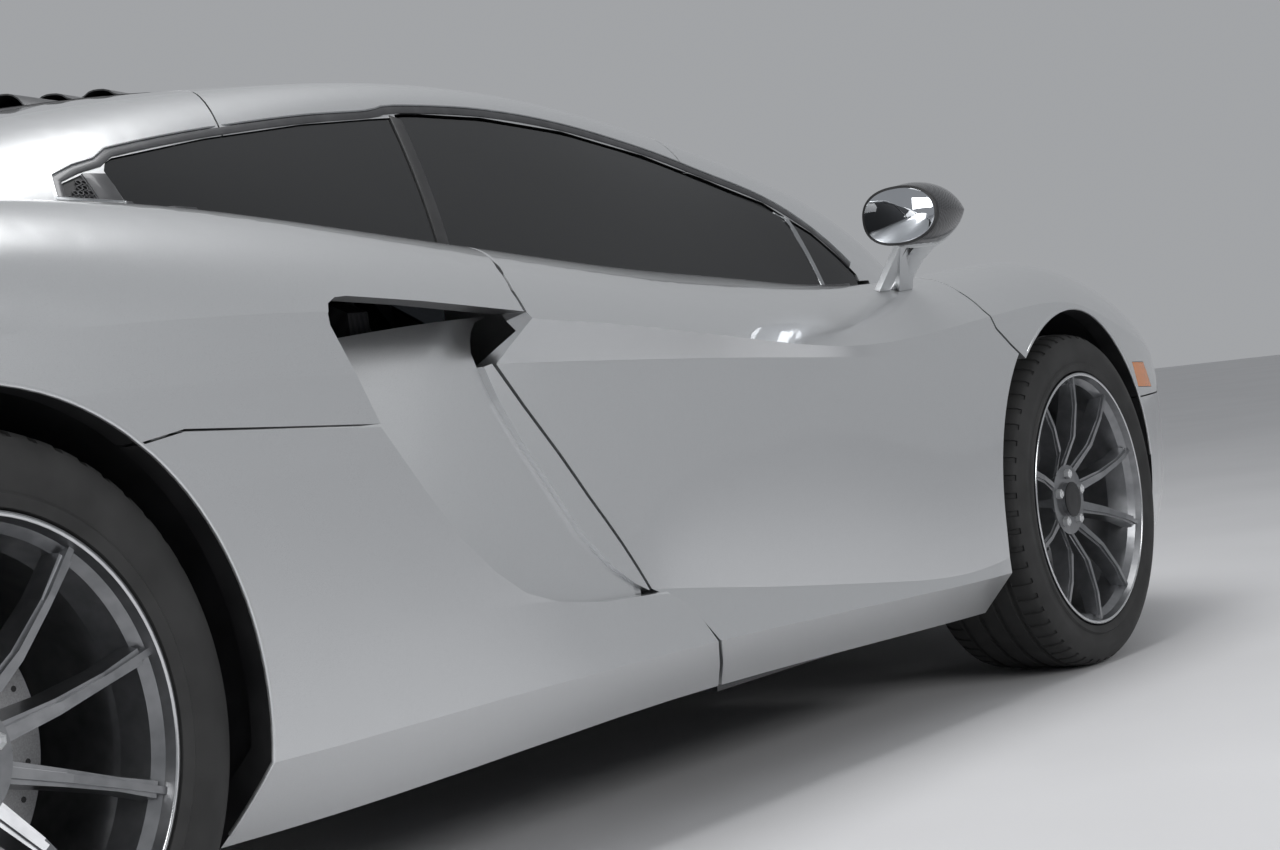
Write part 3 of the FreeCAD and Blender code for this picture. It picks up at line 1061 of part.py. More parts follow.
keep("diffuser", diffuser.fuse([side_prism(FIN_PROFILE, y - 4, y + 4) for y in (-420, -210, 0, 210, 420)]))

# Splitter under the nose
SPLITTER_BOTTOM = 113.0
SPLITTER_TOP = 127.6
splitter_half = []
for x in (1580, 1700, 1850, 1960, 2050, 2120, 2170, 2215, 2240):
    y = line_at(ROCKER, x)[0]
    splitter_half.append((x, y))
splitter_ring = splitter_half + [(x, -y) for x, y in reversed(splitter_half)]
splitter = plan_prism(splitter_ring, SPLITTER_BOTTOM, SPLITTER_TOP)
keep("front_splitter", splitter)

os.makedirs("parts", exist_ok=True)
for name, shape in PARTS.items():
    shape.exportStep("parts/" + name + ".step")
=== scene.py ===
# %% [markdown]
# # A silver mid-engined supercar
# The model is built in metres around a fixed frame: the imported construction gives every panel, wheel and
# pane at its real size and place. This lesson dresses it: first the finishes, then the tyres, trim and padding
# that no sheet-metal drawing shows, then the light and the camera.

# %% Load the frame
import json
import math

import bpy
from mathutils import Matrix, Vector
from mathutils.bvhtree import BVHTree


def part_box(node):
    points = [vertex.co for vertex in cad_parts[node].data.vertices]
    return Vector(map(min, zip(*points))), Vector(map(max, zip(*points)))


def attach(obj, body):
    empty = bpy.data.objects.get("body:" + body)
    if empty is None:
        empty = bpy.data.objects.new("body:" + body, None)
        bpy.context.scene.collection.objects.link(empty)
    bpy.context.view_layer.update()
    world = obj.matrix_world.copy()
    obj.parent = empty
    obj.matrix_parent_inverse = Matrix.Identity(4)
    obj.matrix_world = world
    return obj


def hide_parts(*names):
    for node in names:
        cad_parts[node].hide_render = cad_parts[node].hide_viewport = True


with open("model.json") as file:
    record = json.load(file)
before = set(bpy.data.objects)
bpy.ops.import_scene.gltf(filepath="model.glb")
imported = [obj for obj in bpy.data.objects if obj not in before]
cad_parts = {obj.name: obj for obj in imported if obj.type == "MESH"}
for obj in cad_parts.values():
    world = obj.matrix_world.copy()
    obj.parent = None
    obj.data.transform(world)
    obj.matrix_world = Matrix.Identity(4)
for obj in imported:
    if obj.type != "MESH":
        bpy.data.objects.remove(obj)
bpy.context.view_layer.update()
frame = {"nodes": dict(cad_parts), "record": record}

nodes = frame["nodes"]
slots_of = {entry["node"]: entry["material_slot"] for entry in frame["record"]["subparts"]}
print("nodes:", len(nodes))


# %% [markdown]
# ## Helpers
# An operator works on whatever is selected, so every step starts from an empty selection.

# %% Selection and finishing helpers
def only(piece):
    """Makes one object the selected and active one."""
    bpy.ops.object.select_all(action="DESELECT")
    piece.select_set(True)
    bpy.context.view_layer.objects.active = piece


def give_material(piece, material):
    piece.data.materials.clear()
    piece.data.materials.append(material)


# %% [markdown]
# ## Finishes
# Each finish is a small node tree: a Principled shader, with noise or a checker on Object coordinates that
# varies its colour, its roughness and its surface. Values that are the same all over sit on the shader's own
# sockets.

# %% A blank material with its shader and coordinates
def new_finish(name, **sockets):
    material = bpy.data.materials.new(name)
    material.use_nodes = True
    tree = material.node_tree
    shader = tree.nodes["Principled BSDF"]
    for socket, value in sockets.items():
        shader.inputs[socket.replace("_", " ")].default_value = value
    coordinates = tree.nodes.new("ShaderNodeTexCoord")
    return material, tree, shader, coordinates.outputs["Object"]


def add_noise(tree, vector, scale, detail=3.0, roughness=0.5):
    noise = tree.nodes.new("ShaderNodeTexNoise")
    noise.inputs["Scale"].default_value = scale
    noise.inputs["Detail"].default_value = detail
    noise.inputs["Roughness"].default_value = roughness
    tree.links.new(vector, noise.inputs["Vector"])
    return noise.outputs["Fac"]


def add_ramp(tree, factor, low, high, start=0.3, end=0.7):
    """Colour that runs from low to high as the factor goes from start to end."""
    ramp = tree.nodes.new("ShaderNodeValToRGB")
    ramp.color_ramp.elements[0].position = start
    ramp.color_ramp.elements[1].position = end
    ramp.color_ramp.elements[0].color = (*low, 1.0)
    ramp.color_ramp.elements[1].color = (*high, 1.0)
    tree.links.new(factor, ramp.inputs["Fac"])
    return ramp.outputs["Color"]


def add_range(tree, factor, low, high):
    """Value that runs from low to high with the factor."""
    spread = tree.nodes.new("ShaderNodeMapRange")
    spread.inputs["To Min"].default_value = low
    spread.inputs["To Max"].default_value = high
    tree.links.new(factor, spread.inputs["Value"])
    return spread.outputs["Result"]


def add_bump(tree, shader, height, strength, distance):
    bump = tree.nodes.new("ShaderNodeBump")
    bump.inputs["Strength"].default_value = strength
    bump.inputs["Distance"].default_value = distance
    tree.links.new(height, bump.inputs["Height"])
    tree.links.new(bump.outputs["Normal"], shader.inputs["Normal"])


# %% Silver paint with fine flakes under a clear coat
def silver_paint():
    material, tree, shader, place = new_finish("silver paint", Metallic=0.85,
                                               Coat_Weight=1.0, Coat_Roughness=0.03)
    flakes = add_noise(tree, place, 2600.0, 2.0)
    tree.links.new(add_ramp(tree, flakes, (0.60, 0.61, 0.62), (0.74, 0.75, 0.76)), shader.inputs["Base Color"])
    tree.links.new(add_range(tree, flakes, 0.24, 0.36), shader.inputs["Roughness"])
    add_bump(tree, shader, flakes, 0.05, 0.0002)
    return material


# %% Glass, lamp covers and mirror
def tinted_glass(name, colour, clearness):
    """Coloured glass; a clearness below 1 leaves part of the surface solid in its colour."""
    material, tree, shader, place = new_finish(name, Roughness=0.0, IOR=1.5, Transmission_Weight=clearness)
    haze = add_noise(tree, place, 6.0)
    low = tuple(0.92 * c for c in colour)
    tree.links.new(add_ramp(tree, haze, low, colour), shader.inputs["Base Color"])
    return material


def mirror_glass():
    material, tree, shader, place = new_finish("mirror glass", Metallic=1.0, Roughness=0.02)
    tree.links.new(add_ramp(tree, add_noise(tree, place, 12.0), (0.55, 0.57, 0.6), (0.6, 0.62, 0.65)),
                   shader.inputs["Base Color"])
    return material


# %% Moulded plastic, rubber, leather and cast metal: one grained surface at many scales
GRAINS_PER_PATCH = 40.0
GRAIN_SPREAD = 0.07


def grained(name, dark, light, scale, roughness, bump, distance, coat=0.0, metallic=0.0):
    """Fine grain in the roughness and the surface, with broad patches that run from dark to light."""
    material, tree, shader, place = new_finish(name, Metallic=metallic, Coat_Weight=coat)
    grain = add_noise(tree, place, scale, 6.0, 0.6)
    broad = add_noise(tree, place, scale / GRAINS_PER_PATCH, 2.0)
    tree.links.new(add_ramp(tree, broad, dark, light), shader.inputs["Base Color"])
    rough = add_range(tree, grain, roughness - GRAIN_SPREAD, roughness + GRAIN_SPREAD)
    tree.links.new(rough, shader.inputs["Roughness"])
    add_bump(tree, shader, grain, bump, distance)
    return material


# %% Carbon weave: a fine checker, turned so that it crosses every face at a slant
def carbon_weave(name, coat):
    material, tree, shader, place = new_finish(name, Coat_Weight=coat, Coat_Roughness=0.04, Metallic=0.3)
    checker = tree.nodes.new("ShaderNodeTexChecker")
    checker.inputs["Scale"].default_value = 420.0
    turn = tree.nodes.new("ShaderNodeMapping")
    turn.inputs["Rotation"].default_value = (0.6, 0.5, 0.8)
    tree.links.new(place, turn.inputs["Vector"])
    tree.links.new(turn.outputs["Vector"], checker.inputs["Vector"])
    tree.links.new(add_ramp(tree, checker.outputs["Fac"], (0.010, 0.010, 0.012), (0.055, 0.056, 0.06)),
                   shader.inputs["Base Color"])
    tree.links.new(add_range(tree, checker.outputs["Fac"], 0.45, 0.28), shader.inputs["Roughness"])
    add_bump(tree, shader, checker.outputs["Fac"], 0.15, 0.0002)
    return material


# %% Ground metal: a bare surface with a coarser grain
def ground_metal(name, low, high, roughness, scale):
    material, tree, shader, place = new_finish(name, Metallic=1.0)
    grain = add_noise(tree, place, scale, 4.0, 0.7)
    tree.links.new(add_ramp(tree, grain, low, high), shader.inputs["Base Color"])
    tree.links.new(add_range(tree, grain, roughness - 0.08, roughness + 0.08), shader.inputs["Roughness"])
    add_bump(tree, shader, grain, 0.12, 0.0003)
    return material


# %% The finish of each slot
finishes = {
    "paint": silver_paint(),
    "glass": tinted_glass("tinted glass", (0.035, 0.038, 0.042), 0.9),
    "lamp_glass": tinted_glass("lamp cover", (0.92, 0.94, 0.96), 1.0),
    "red_lamp": tinted_glass("red lamp", (0.75, 0.02, 0.02), 0.5),
    "amber_lamp": tinted_glass("amber lamp", (0.95, 0.30, 0.03), 0.35),
    "black_plastic": grained("black moulding", (0.012, 0.012, 0.013), (0.022, 0.022, 0.024),
                             900.0, 0.5, 0.25, 0.0004),
    "carbon": carbon_weave("gloss carbon", 1.0),
    "tub_carbon": carbon_weave("satin carbon", 0.2),
    "tyre": grained("tyre rubber", (0.014, 0.014, 0.014), (0.026, 0.026, 0.026),
                    700.0, 0.72, 0.3, 0.0005),
    "rim": grained("graphite alloy", (0.20, 0.205, 0.215), (0.26, 0.265, 0.275),
                   1800.0, 0.3, 0.05, 0.0002, coat=0.6, metallic=0.9),
    "disc": ground_metal("brake disc", (0.30, 0.30, 0.30), (0.46, 0.46, 0.47), 0.35, 500.0),
    "knuckle": grained("silver caliper", (0.60, 0.61, 0.62), (0.68, 0.69, 0.70),
                       900.0, 0.35, 0.08, 0.0003, coat=0.4, metallic=0.6),
    "leather": grained("black leather", (0.018, 0.018, 0.02), (0.032, 0.032, 0.035),
                       420.0, 0.55, 0.5, 0.0008),
    "cast": grained("cast alloy", (0.32, 0.33, 0.34), (0.42, 0.43, 0.44),
                    300.0, 0.5, 0.4, 0.0008, metallic=0.9),
    "steel": ground_metal("heat-tinted steel", (0.34, 0.31, 0.27), (0.55, 0.52, 0.47), 0.3, 60.0),
    "mirror_shell": carbon_weave("mirror carbon", 1.0),
}
polished = grained("polished lip", (0.62, 0.63, 0.64), (0.70, 0.71, 0.72),
                   1500.0, 0.16, 0.03, 0.0001, coat=0.5, metallic=1.0)
satin_trim = grained("satin grey trim", (0.060, 0.061, 0.064), (0.085, 0.086, 0.090),
                     1400.0, 0.34, 0.05, 0.0001, coat=0.3, metallic=0.6)
bright_trim = grained("bright edge", (0.36, 0.37, 0.38), (0.44, 0.45, 0.46),
                      1400.0, 0.22, 0.03, 0.0001, coat=0.4, metallic=1.0)
dark_satin = grained("dark satin", (0.010, 0.010, 0.011), (0.020, 0.020, 0.021),
                     900.0, 0.42, 0.1, 0.0002)
mirror_face = mirror_glass()
for name, node in nodes.items():
    give_material(node, finishes[slots_of[name]])
print("finishes:", len(finishes))


# %% [markdown]
# ## Tools for modelling
# Pieces are shaped in edit mode, as by hand, on faces that are picked in code by their place. A trim that
# follows a panel needs the panel's surface: a ray cast from the side or from above on the frame's own mesh
# gives the point and the direction that the panel faces there.

# %% Edit mode, picking and joining
def open_edit(piece, faces=None):
    """Enters edit mode with only the given faces picked, or all of them."""
    only(piece)
    bpy.ops.object.mode_set(mode="EDIT")
    bpy.ops.mesh.select_mode(type="FACE")
    bpy.ops.mesh.select_all(action="SELECT" if faces is None else "DESELECT")
    if faces is not None:
        bpy.ops.object.mode_set(mode="OBJECT")
        piece.data.polygons.foreach_set("select", [polygon.index in faces for polygon in piece.data.polygons])
        bpy.ops.object.mode_set(mode="EDIT")


def close_edit():
    bpy.ops.object.mode_set(mode="OBJECT")


def settle(piece):
    """Writes a piece's place, turn and scale into its mesh."""
    only(piece)
    bpy.ops.object.transform_apply(location=True, rotation=True, scale=True)


def smooth(piece, angle=35.0):
    only(piece)
    bpy.ops.object.shade_smooth_by_angle(angle=math.radians(angle))


def face_outward(piece):
    """Merges doubled corners and turns every face of a closed piece outward."""
    open_edit(piece)
    bpy.ops.mesh.remove_doubles(threshold=0.00005)
    bpy.ops.mesh.normals_make_consistent(inside=False)
    close_edit()


def copy_of(piece, name, matrix):
    """Copy with its own mesh, moved by a matrix; a mirror image is turned the right way out again."""
    twin = piece.copy()
    twin.data = piece.data.copy()
    twin.name = name
    bpy.context.scene.collection.objects.link(twin)
    twin.data.transform(matrix)
    if matrix.determinant() < 0.0:
        twin.data.flip_normals()
    return twin


def join(name, pieces):
    bpy.ops.object.select_all(action="DESELECT")
    for piece in pieces:
        piece.select_set(True)
    bpy.context.view_layer.objects.active = pieces[0]
    if len(pieces) > 1:
        bpy.ops.object.join()
    pieces[0].name = name
    return pieces[0]


def new_piece(name, corners, faces):
    """Piece made straight from its corners and faces."""
    mesh = bpy.data.meshes.new(name)
    mesh.from_pydata(corners, [], faces)
    piece = bpy.data.objects.new(name, mesh)
    bpy.context.scene.collection.objects.link(piece)
    return piece


def grid_faces(rows, columns):
    """Quads of a sheet whose corners are listed row by row."""
    return [(a, a + 1, a + columns + 1, a + columns)
            for row in range(rows - 1) for a in range(row * columns, (row + 1) * columns - 1)]


def thicken(piece, thickness, offset=-1.0):
    """Gives a sheet its thickness: behind its faces, or half to each side with an offset of 0."""
    wall = piece.modifiers.new("wall", "SOLIDIFY")
    wall.thickness = thickness
    wall.offset = offset
    only(piece)
    bpy.ops.object.modifier_apply(modifier=wall.name)


# %% Finished pieces, one by one or with their mirror image
MIRROR_Y = Matrix.Diagonal((1.0, -1.0, 1.0, 1.0))


def finish_piece(piece, slot, body, material=None):
    give_material(piece, material or finishes[slot])
    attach(piece, body)


def finish_both_sides(piece, slot, material=None):
    """A piece of the right side and its mirror image, as one piece on the body."""
    name = piece.name
    finish_piece(join(name, [piece, copy_of(piece, name + "_twin", MIRROR_Y)]), slot, "body", material)


def finish_door_pair(piece, word, slot, material=None):
    """A piece of the right door and its mirror image, each riding its own door."""
    finish_piece(copy_of(piece, word + "_left", MIRROR_Y), slot, "door_left", material)
    finish_piece(piece, slot, "door_right", material)


# %% Turned pieces: a closed profile spun about the wheel's axle
def turned(name, profile, steps):
    """Ring about the Y axis from a closed profile of (y, radius) points."""
    bpy.ops.object.select_all(action="DESELECT")
    bpy.ops.mesh.primitive_circle_add(vertices=len(profile), radius=1.0, fill_type="NOTHING")
    piece = bpy.context.object
    piece.name = name
    for vertex, (y, radius) in zip(piece.data.vertices, profile):
        vertex.co = (0.0, y, radius)
    only(piece)
    bpy.ops.object.mode_set(mode="EDIT")
    bpy.ops.mesh.select_all(action="SELECT")
    bpy.ops.mesh.spin(steps=steps, angle=2.0 * math.pi, center=(0.0, 0.0, 0.0), axis=(0.0, 1.0, 0.0))
    bpy.ops.object.mode_set(mode="OBJECT")
    face_outward(piece)
    return piece


# %% The panels' surface, seen from the car's right side and from above
FAR_RIGHT_Y = -1.5
OVERHEAD_Z = 2.0
INWARD = Vector((0.0, 1.0, 0.0))
DOWNWARD = Vector((0.0, 0.0, -1.0))
LEAST_SIDE_Y = -0.4


def surface_tree(*names):
    corners, faces = [], []
    for name in names:
        mesh = nodes[name].data
        first = len(corners)
        corners += [vertex.co.copy() for vertex in mesh.vertices]
        faces += [[first + k for k in polygon.vertices] for polygon in mesh.polygons]
    return BVHTree.FromPolygons(corners, faces)


def on_side(tree, x, z):
    """Point and outward direction of the right side at (x, z), or None where a ray slips through a gap."""
    place, normal, _, _ = tree.ray_cast(Vector((x, FAR_RIGHT_Y, z)), INWARD)
    if place is None or place.y > LEAST_SIDE_Y:
        return None
    return place, -normal if normal.y > 0.0 else normal


def from_above(tree, x, y):
    """Point and upward direction of the top at (x, y), or None where a ray slips through a gap."""
    place, normal, _, _ = tree.ray_cast(Vector((x, y, OVERHEAD_Z)), DOWNWARD)
    if place is None:
        return None
    return place, -normal if normal.z < 0.0 else normal


# %% Ribbons: flat trims that follow a line on a panel
def ribbon(name, line, width, thickness, lift=0.0, soften=0.3):
    """Band along (point, normal) pairs; lift is how far its face stands out of the surface."""
    count = len(line)
    corners = []
    for k, (point, normal) in enumerate(line):
        way = (line[min(k + 1, count - 1)][0] - line[max(k - 1, 0)][0]).normalized()
        across = way.cross(normal).normalized()
        up = across.cross(way).normalized()
        if up.dot(normal) < 0.0:
            up = -up
        for s, t in ((-0.5, 0.0), (0.5, 0.0), (0.5, 1.0), (-0.5, 1.0)):
            corners.append(point + across * (s * width) + up * (lift + (t - 1.0) * thickness))
    faces = []
    for k in range(count - 1):
        here, there = 4 * k, 4 * (k + 1)
        faces += [(here + j, here + (j + 1) % 4, there + (j + 1) % 4, there + j) for j in range(4)]
    faces += [(3, 2, 1, 0), tuple(4 * (count - 1) + j for j in range(4))]
    piece = new_piece(name, corners, faces)
    face_outward(piece)
    bevel = piece.modifiers.new("soft edges", "BEVEL")
    bevel.width = soften * min(width, thickness)
    bevel.segments = 2
    bevel.limit_method = "ANGLE"
    only(piece)
    bpy.ops.object.modifier_apply(modifier=bevel.name)
    smooth(piece)
    return piece


def smooth_line(points, step):
    """Evenly spaced points on a smooth curve through the given ones."""
    out = []
    count = len(points)
    for k in range(count - 1):
        p0, p1, p2, p3 = (Vector(points[min(max(j, 0), count - 1)]) for j in (k - 1, k, k + 1, k + 2))
        pieces_here = max(int((p2 - p1).length / step), 1)
        for j in range(pieces_here):
            t = j / pieces_here
            out.append(0.5 * ((2.0 * p1) + (p2 - p0) * t + (2.0 * p0 - 5.0 * p1 + 4.0 * p2 - p3) * t**2
                              + (3.0 * p1 - p0 - 3.0 * p2 + p3) * t**3))
    out.append(Vector(points[-1]))
    return out


# %% [markdown]
# ## Tyres
# A road tyre is a turned shape with a few straight grooves, and its look comes from the blocks along each
# shoulder and the thin ridge that guards the rim. The profile is spun about the axle, and then every third
# face of the shoulder is inset and pushed in, which leaves the blocks standing.

# %% One tyre for each axle, centred on its wheel
WHEEL_PLACES = {}
for axle in ("front", "rear"):
    for side in ("left", "right"):
        low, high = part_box("tyre_%s_%s" % (axle, side))
        WHEEL_PLACES[axle, side] = Vector([(low[k] + high[k]) / 2.0 for k in range(3)])
TYRE_SIZES = {"front": (0.1175, 0.3235, 0.2446), "rear": (0.1525, 0.3455, 0.2571)}
TYRE_STEPS = 180
GROOVE_DEPTH = 0.006
BLOCK_PITCH = 3
SHOULDER_BELOW_TREAD = (0.0110, 0.0008)
SHOULDER_FROM_MIDDLE = 0.66


def wheel_move(axle, side):
    """Puts a piece modelled at the origin, facing out to the left, on its wheel."""
    turn = Matrix.Rotation(math.pi, 4, "Z") if side == "right" else Matrix.Identity(4)
    return Matrix.Translation(WHEEL_PLACES[axle, side]) @ turn


def tyre_profile(half, outer, bead):
    """Closed outline of the tyre: from the outer bead over the tread to the inner one."""
    wall = (outer + bead) / 2.0
    shoulder = half - 0.014
    side = [(half - 0.016, bead), (half - 0.005, bead + 0.003), (half - 0.0015, bead + 0.012),
            (half - 0.0005, bead + 0.016), (half - 0.004, bead + 0.020), (half - 0.0015, wall - 0.004),
            (half - 0.0005, wall + 0.004), (half - 0.004, outer - 0.024), (half - 0.009, outer - 0.012),
            (shoulder - 0.002, outer - 0.006), (shoulder - 0.016, outer - 0.0022)]
    grooves = []
    for share in (0.60, 0.2):
        y = share * shoulder
        grooves += [(y + 0.006, outer - 0.0006), (y + 0.004, outer - GROOVE_DEPTH),
                    (y - 0.004, outer - GROOVE_DEPTH), (y - 0.006, outer - 0.0003)]
    half_profile = side + grooves
    return half_profile + [(-y, radius) for y, radius in reversed(half_profile)]


tyre_models = {}
for axle, (half, outer, bead) in TYRE_SIZES.items():
    tyre = turned("tyre_" + axle, tyre_profile(half, outer, bead), TYRE_STEPS)
    turn = 2.0 * math.pi / TYRE_STEPS
    picked = set()
    for polygon in tyre.data.polygons:
        centre = polygon.center
        below_tread = outer - math.hypot(centre.x, centre.z)
        index = int(math.floor(math.atan2(centre.z, centre.x) / turn + 0.001))
        on_shoulder = (SHOULDER_BELOW_TREAD[1] < below_tread < SHOULDER_BELOW_TREAD[0]
                       and abs(centre.y) > SHOULDER_FROM_MIDDLE * half)
        if on_shoulder and index % BLOCK_PITCH == 0:
            picked.add(polygon.index)
    open_edit(tyre, picked)
    bpy.ops.mesh.inset(thickness=0.0010, depth=-0.0030)
    close_edit()
    smooth(tyre, 28.0)
    tyre_models[axle] = tyre
    print("tyre", axle, len(tyre.data.polygons), "faces,", len(picked), "block faces")

for axle, side in WHEEL_PLACES:
    name = "tyre_%s_%s" % (axle, side)
    tyre = copy_of(tyre_models[axle], "road_" + name, wheel_move(axle, side))
    finish_piece(tyre, "tyre", "wheel_%s_%s" % (axle, side))
    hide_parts(name)
for tyre in tyre_models.values():
    bpy.data.objects.remove(tyre)


# %% [markdown]
# ## Wheel details
# The spokes and barrel come from the frame. What a wheel maker adds is small: five bolts with sockets, a thin
# polished ring at the lip, a raised cap and the drilled disc behind the spokes, whose holes are painted shade:
# dark discs on its face. Each is modelled once for an axle and copied to both sides.

# %% Bolts, lip ring, cap and the painted shade of the disc's drilled rows
RIM_HALF = {"front": 0.114, "rear": 0.146}
LIP_RADIUS = {"front": 0.2439, "rear": 0.2564}
DISC_RADIUS = {"front": 0.185, "rear": 0.175}
HUB_FACE = 0.048
BOLT_COUNT = 5
BOLT_CIRCLE = 0.050
DISC_FACE = 0.132
DRILLINGS_IN_ROW = 24
DRILLED_SHARES = (0.62, 0.76, 0.90)
ALONG_AXLE = (math.pi / 2.0, 0.0, 0.0)


def wheel_bolts(half):
    """Hexagonal bolt heads with a sunk socket, in a circle on the hub's face."""
    made = []
    for k in range(BOLT_COUNT):
        angle = math.radians(90.0 + 360.0 * k / BOLT_COUNT)
        x, z = BOLT_CIRCLE * math.cos(angle), BOLT_CIRCLE * math.sin(angle)
        bpy.ops.object.select_all(action="DESELECT")
        bpy.ops.mesh.primitive_cylinder_add(vertices=6, radius=0.0095, depth=0.010, rotation=ALONG_AXLE,
                                            location=(x, half - HUB_FACE + 0.004, z))
        head = bpy.context.object
        settle(head)
        tops = {polygon.index for polygon in head.data.polygons if polygon.normal.y > 0.9}
        open_edit(head, tops)
        bpy.ops.mesh.inset(thickness=0.002, depth=0.0015)
        bpy.ops.mesh.inset(thickness=0.0025, depth=-0.004)
        close_edit()
        made.append(head)
    return join("bolts", made)


def drilled_rows(axle, half):
    """Painted shade of the drilled holes: dark discs on the outer face of the disc, in three rows that are a
    third of a step apart.
    """
    bpy.ops.object.select_all(action="DESELECT")
    bpy.ops.mesh.primitive_cylinder_add(vertices=8, radius=0.0036, depth=0.0006, rotation=ALONG_AXLE)
    one = bpy.context.object
    settle(one)
    drilling_shade = []
    for row, share in enumerate(DRILLED_SHARES):
        radius = share * DISC_RADIUS[axle]
        for k in range(DRILLINGS_IN_ROW):
            angle = 2.0 * math.pi * (k + row / 3.0) / DRILLINGS_IN_ROW
            place = (radius * math.cos(angle), half - DISC_FACE + 0.0002, radius * math.sin(angle))
            drilling_shade.append(copy_of(one, "drilling", Matrix.Translation(place)))
    bpy.data.objects.remove(one)
    return join("drilling_shade", drilling_shade)


for axle in ("front", "rear"):
    half, lip = RIM_HALF[axle], LIP_RADIUS[axle]
    bolts = wheel_bolts(half)
    ring = turned("lip_ring", [(half - 0.0005, lip - 0.0058), (half - 0.0005, lip - 0.0004),
                               (half + 0.0008, lip - 0.0010), (half + 0.0012, lip - 0.0030),
                               (half + 0.0008, lip - 0.0052)], 96)
    smooth(ring, 60.0)
    cap = turned("cap", [(half - 0.0402, 0.0), (half - 0.0402, 0.034), (half - 0.0382, 0.034),
                         (half - 0.0365, 0.031), (half - 0.0372, 0.022), (half - 0.0355, 0.012),
                         (half - 0.0352, 0.0)], 40)
    smooth(cap, 50.0)
    drilling_shade = drilled_rows(axle, half)
    # The dark discs of the drilled rows are painted shade of the holes, in black plastic.
    details = ((bolts, "bolts", "knuckle", None), (ring, "lip_ring", "rim", polished),
               (cap, "hub_cap", "black_plastic", None), (drilling_shade, "drilling_shade", "black_plastic", None))
    for side in ("left", "right"):
        for model, word, slot, material in details:
            piece = copy_of(model, "%s_%s_%s" % (word, axle, side), wheel_move(axle, side))
            finish_piece(piece, slot, "wheel_%s_%s" % (axle, side), material)
    for model, _, _, _ in details:
        bpy.data.objects.remove(model)
print("wheel details done")


# %% [markdown]
# ## Glass surround and belt line
# A satin band frames the side windows from the vent at the back to the mirror, with a bright line along its
# upper edge. The band follows the panel: each point of the line is cast onto the frame, and the ribbon stands a
# fraction of a millimetre proud of it. The door carries its own belt moulding, which swings with it.

# %% Window surround, with its bright upper line
side_shell = surface_tree("roof_shell", "door_right", "rear_haunches", "door_glass_right", "quarter_glass")
BAND_WIDTH = 0.013
BAND_LIFT = 0.0020
REAR_EDGE = [(-1.0165, 0.934), (-1.0165, 0.954), (-1.006, 0.978), (-0.966, 0.991), (-0.922, 1.001),
             (-0.893, 1.015), (-0.688, 1.050), (-0.450, 1.081), (-0.280, 1.096), (-0.205, 1.101)]
FRONT_EDGE = [(-0.205, 1.101), (0.007, 1.102), (0.210, 1.082), (0.410, 1.041), (0.545, 0.997),
              (0.675, 0.946), (0.760, 0.884), (0.818, 0.812)]


def side_line(tree, points, step=0.025):
    """A smooth line of (x, z) places laid on the side, without the places where a ray finds a gap."""
    found = [on_side(tree, point.x, point.z) for point in smooth_line([(x, 0.0, z) for x, z in points], step)]
    return [pair for pair in found if pair is not None]


def even_depth(line, reach):
    """Gives each point the middle depth of its neighbours, so that a seam doesn't show in the line."""
    out = []
    for k, (point, normal) in enumerate(line):
        near = [line[j][0].y for j in range(max(k - reach, 0), min(k + reach + 1, len(line)))]
        near.sort()
        out.append((Vector((point.x, near[len(near) // 2], point.z)), normal))
    return out


def even_normals(line, rounds=4):
    """Averages neighbouring normals, so that a ribbon doesn't twist where it crosses a seam."""
    normals = [normal.copy() for _, normal in line]
    for _ in range(rounds):
        normals = [(normals[max(k - 1, 0)] + normals[k] + normals[min(k + 1, len(normals) - 1)]).normalized()
                   for k in range(len(normals))]
    return [(point, normal) for (point, _), normal in zip(line, normals)]


def outside(points, distance):
    """The (x, z) line moved up and outward by a distance, square to its own run."""
    moved = []
    for k, (x, z) in enumerate(points):
        ax, az = points[max(k - 1, 0)]
        bx, bz = points[min(k + 1, len(points) - 1)]
        run = math.hypot(bx - ax, bz - az)
        moved.append((x - distance * (bz - az) / run, z + distance * (bx - ax) / run))
    return moved


REAR_GAP, FRONT_GAP = 0.0, 0.0065


def edge_line(offset):
    """Line outside the window edge: close to the fixed pane at the back, past the shut gap over the door."""
    points = outside(REAR_EDGE, REAR_GAP + offset)[:-1] + outside(FRONT_EDGE, FRONT_GAP + offset)
    return even_normals(side_line(side_shell, points))


surround = ribbon("window_surround", edge_line(0.5 * BAND_WIDTH), BAND_WIDTH, 0.006, BAND_LIFT)
finish_both_sides(surround, "black_plastic", satin_trim)
bright_edge = ribbon("surround_bright_edge", edge_line(BAND_WIDTH + 0.0005), 0.0030, 0.005, BAND_LIFT + 0.0010)
finish_both_sides(bright_edge, "rim", bright_trim)

# %% Centre pillar: a black strip over the seam between the panes, with a light line at its front
pillar_shell = surface_tree("roof_shell", "door_glass_right", "quarter_glass")
pillar_line = even_normals(side_line(pillar_shell, [(-0.2135, 1.1010), (-0.268, 0.985), (-0.330, 0.856)]))
finish_both_sides(ribbon("centre_pillar", pillar_line, 0.024, 0.004, 0.0016), "black_plastic", dark_satin)
edge_of_pillar = even_normals(side_line(pillar_shell, [(-0.2055, 1.0975), (-0.2575, 0.985), (-0.319, 0.856)]))
finish_both_sides(ribbon("centre_pillar_edge", edge_of_pillar, 0.0030, 0.003, 0.0030), "rim", bright_trim)

# %% Belt moulding: where the glass meets the shoulder, found by stepping inward from the side
glass_tree = surface_tree("door_glass_right", "quarter_glass")
shoulder_tree = surface_tree("door_right", "rear_haunches", "roof_shell")
BELT_OUTER_Y, BELT_STEP, BELT_STEPS = -0.90, 0.001, 240
LEAST_BELT_Z = 0.7


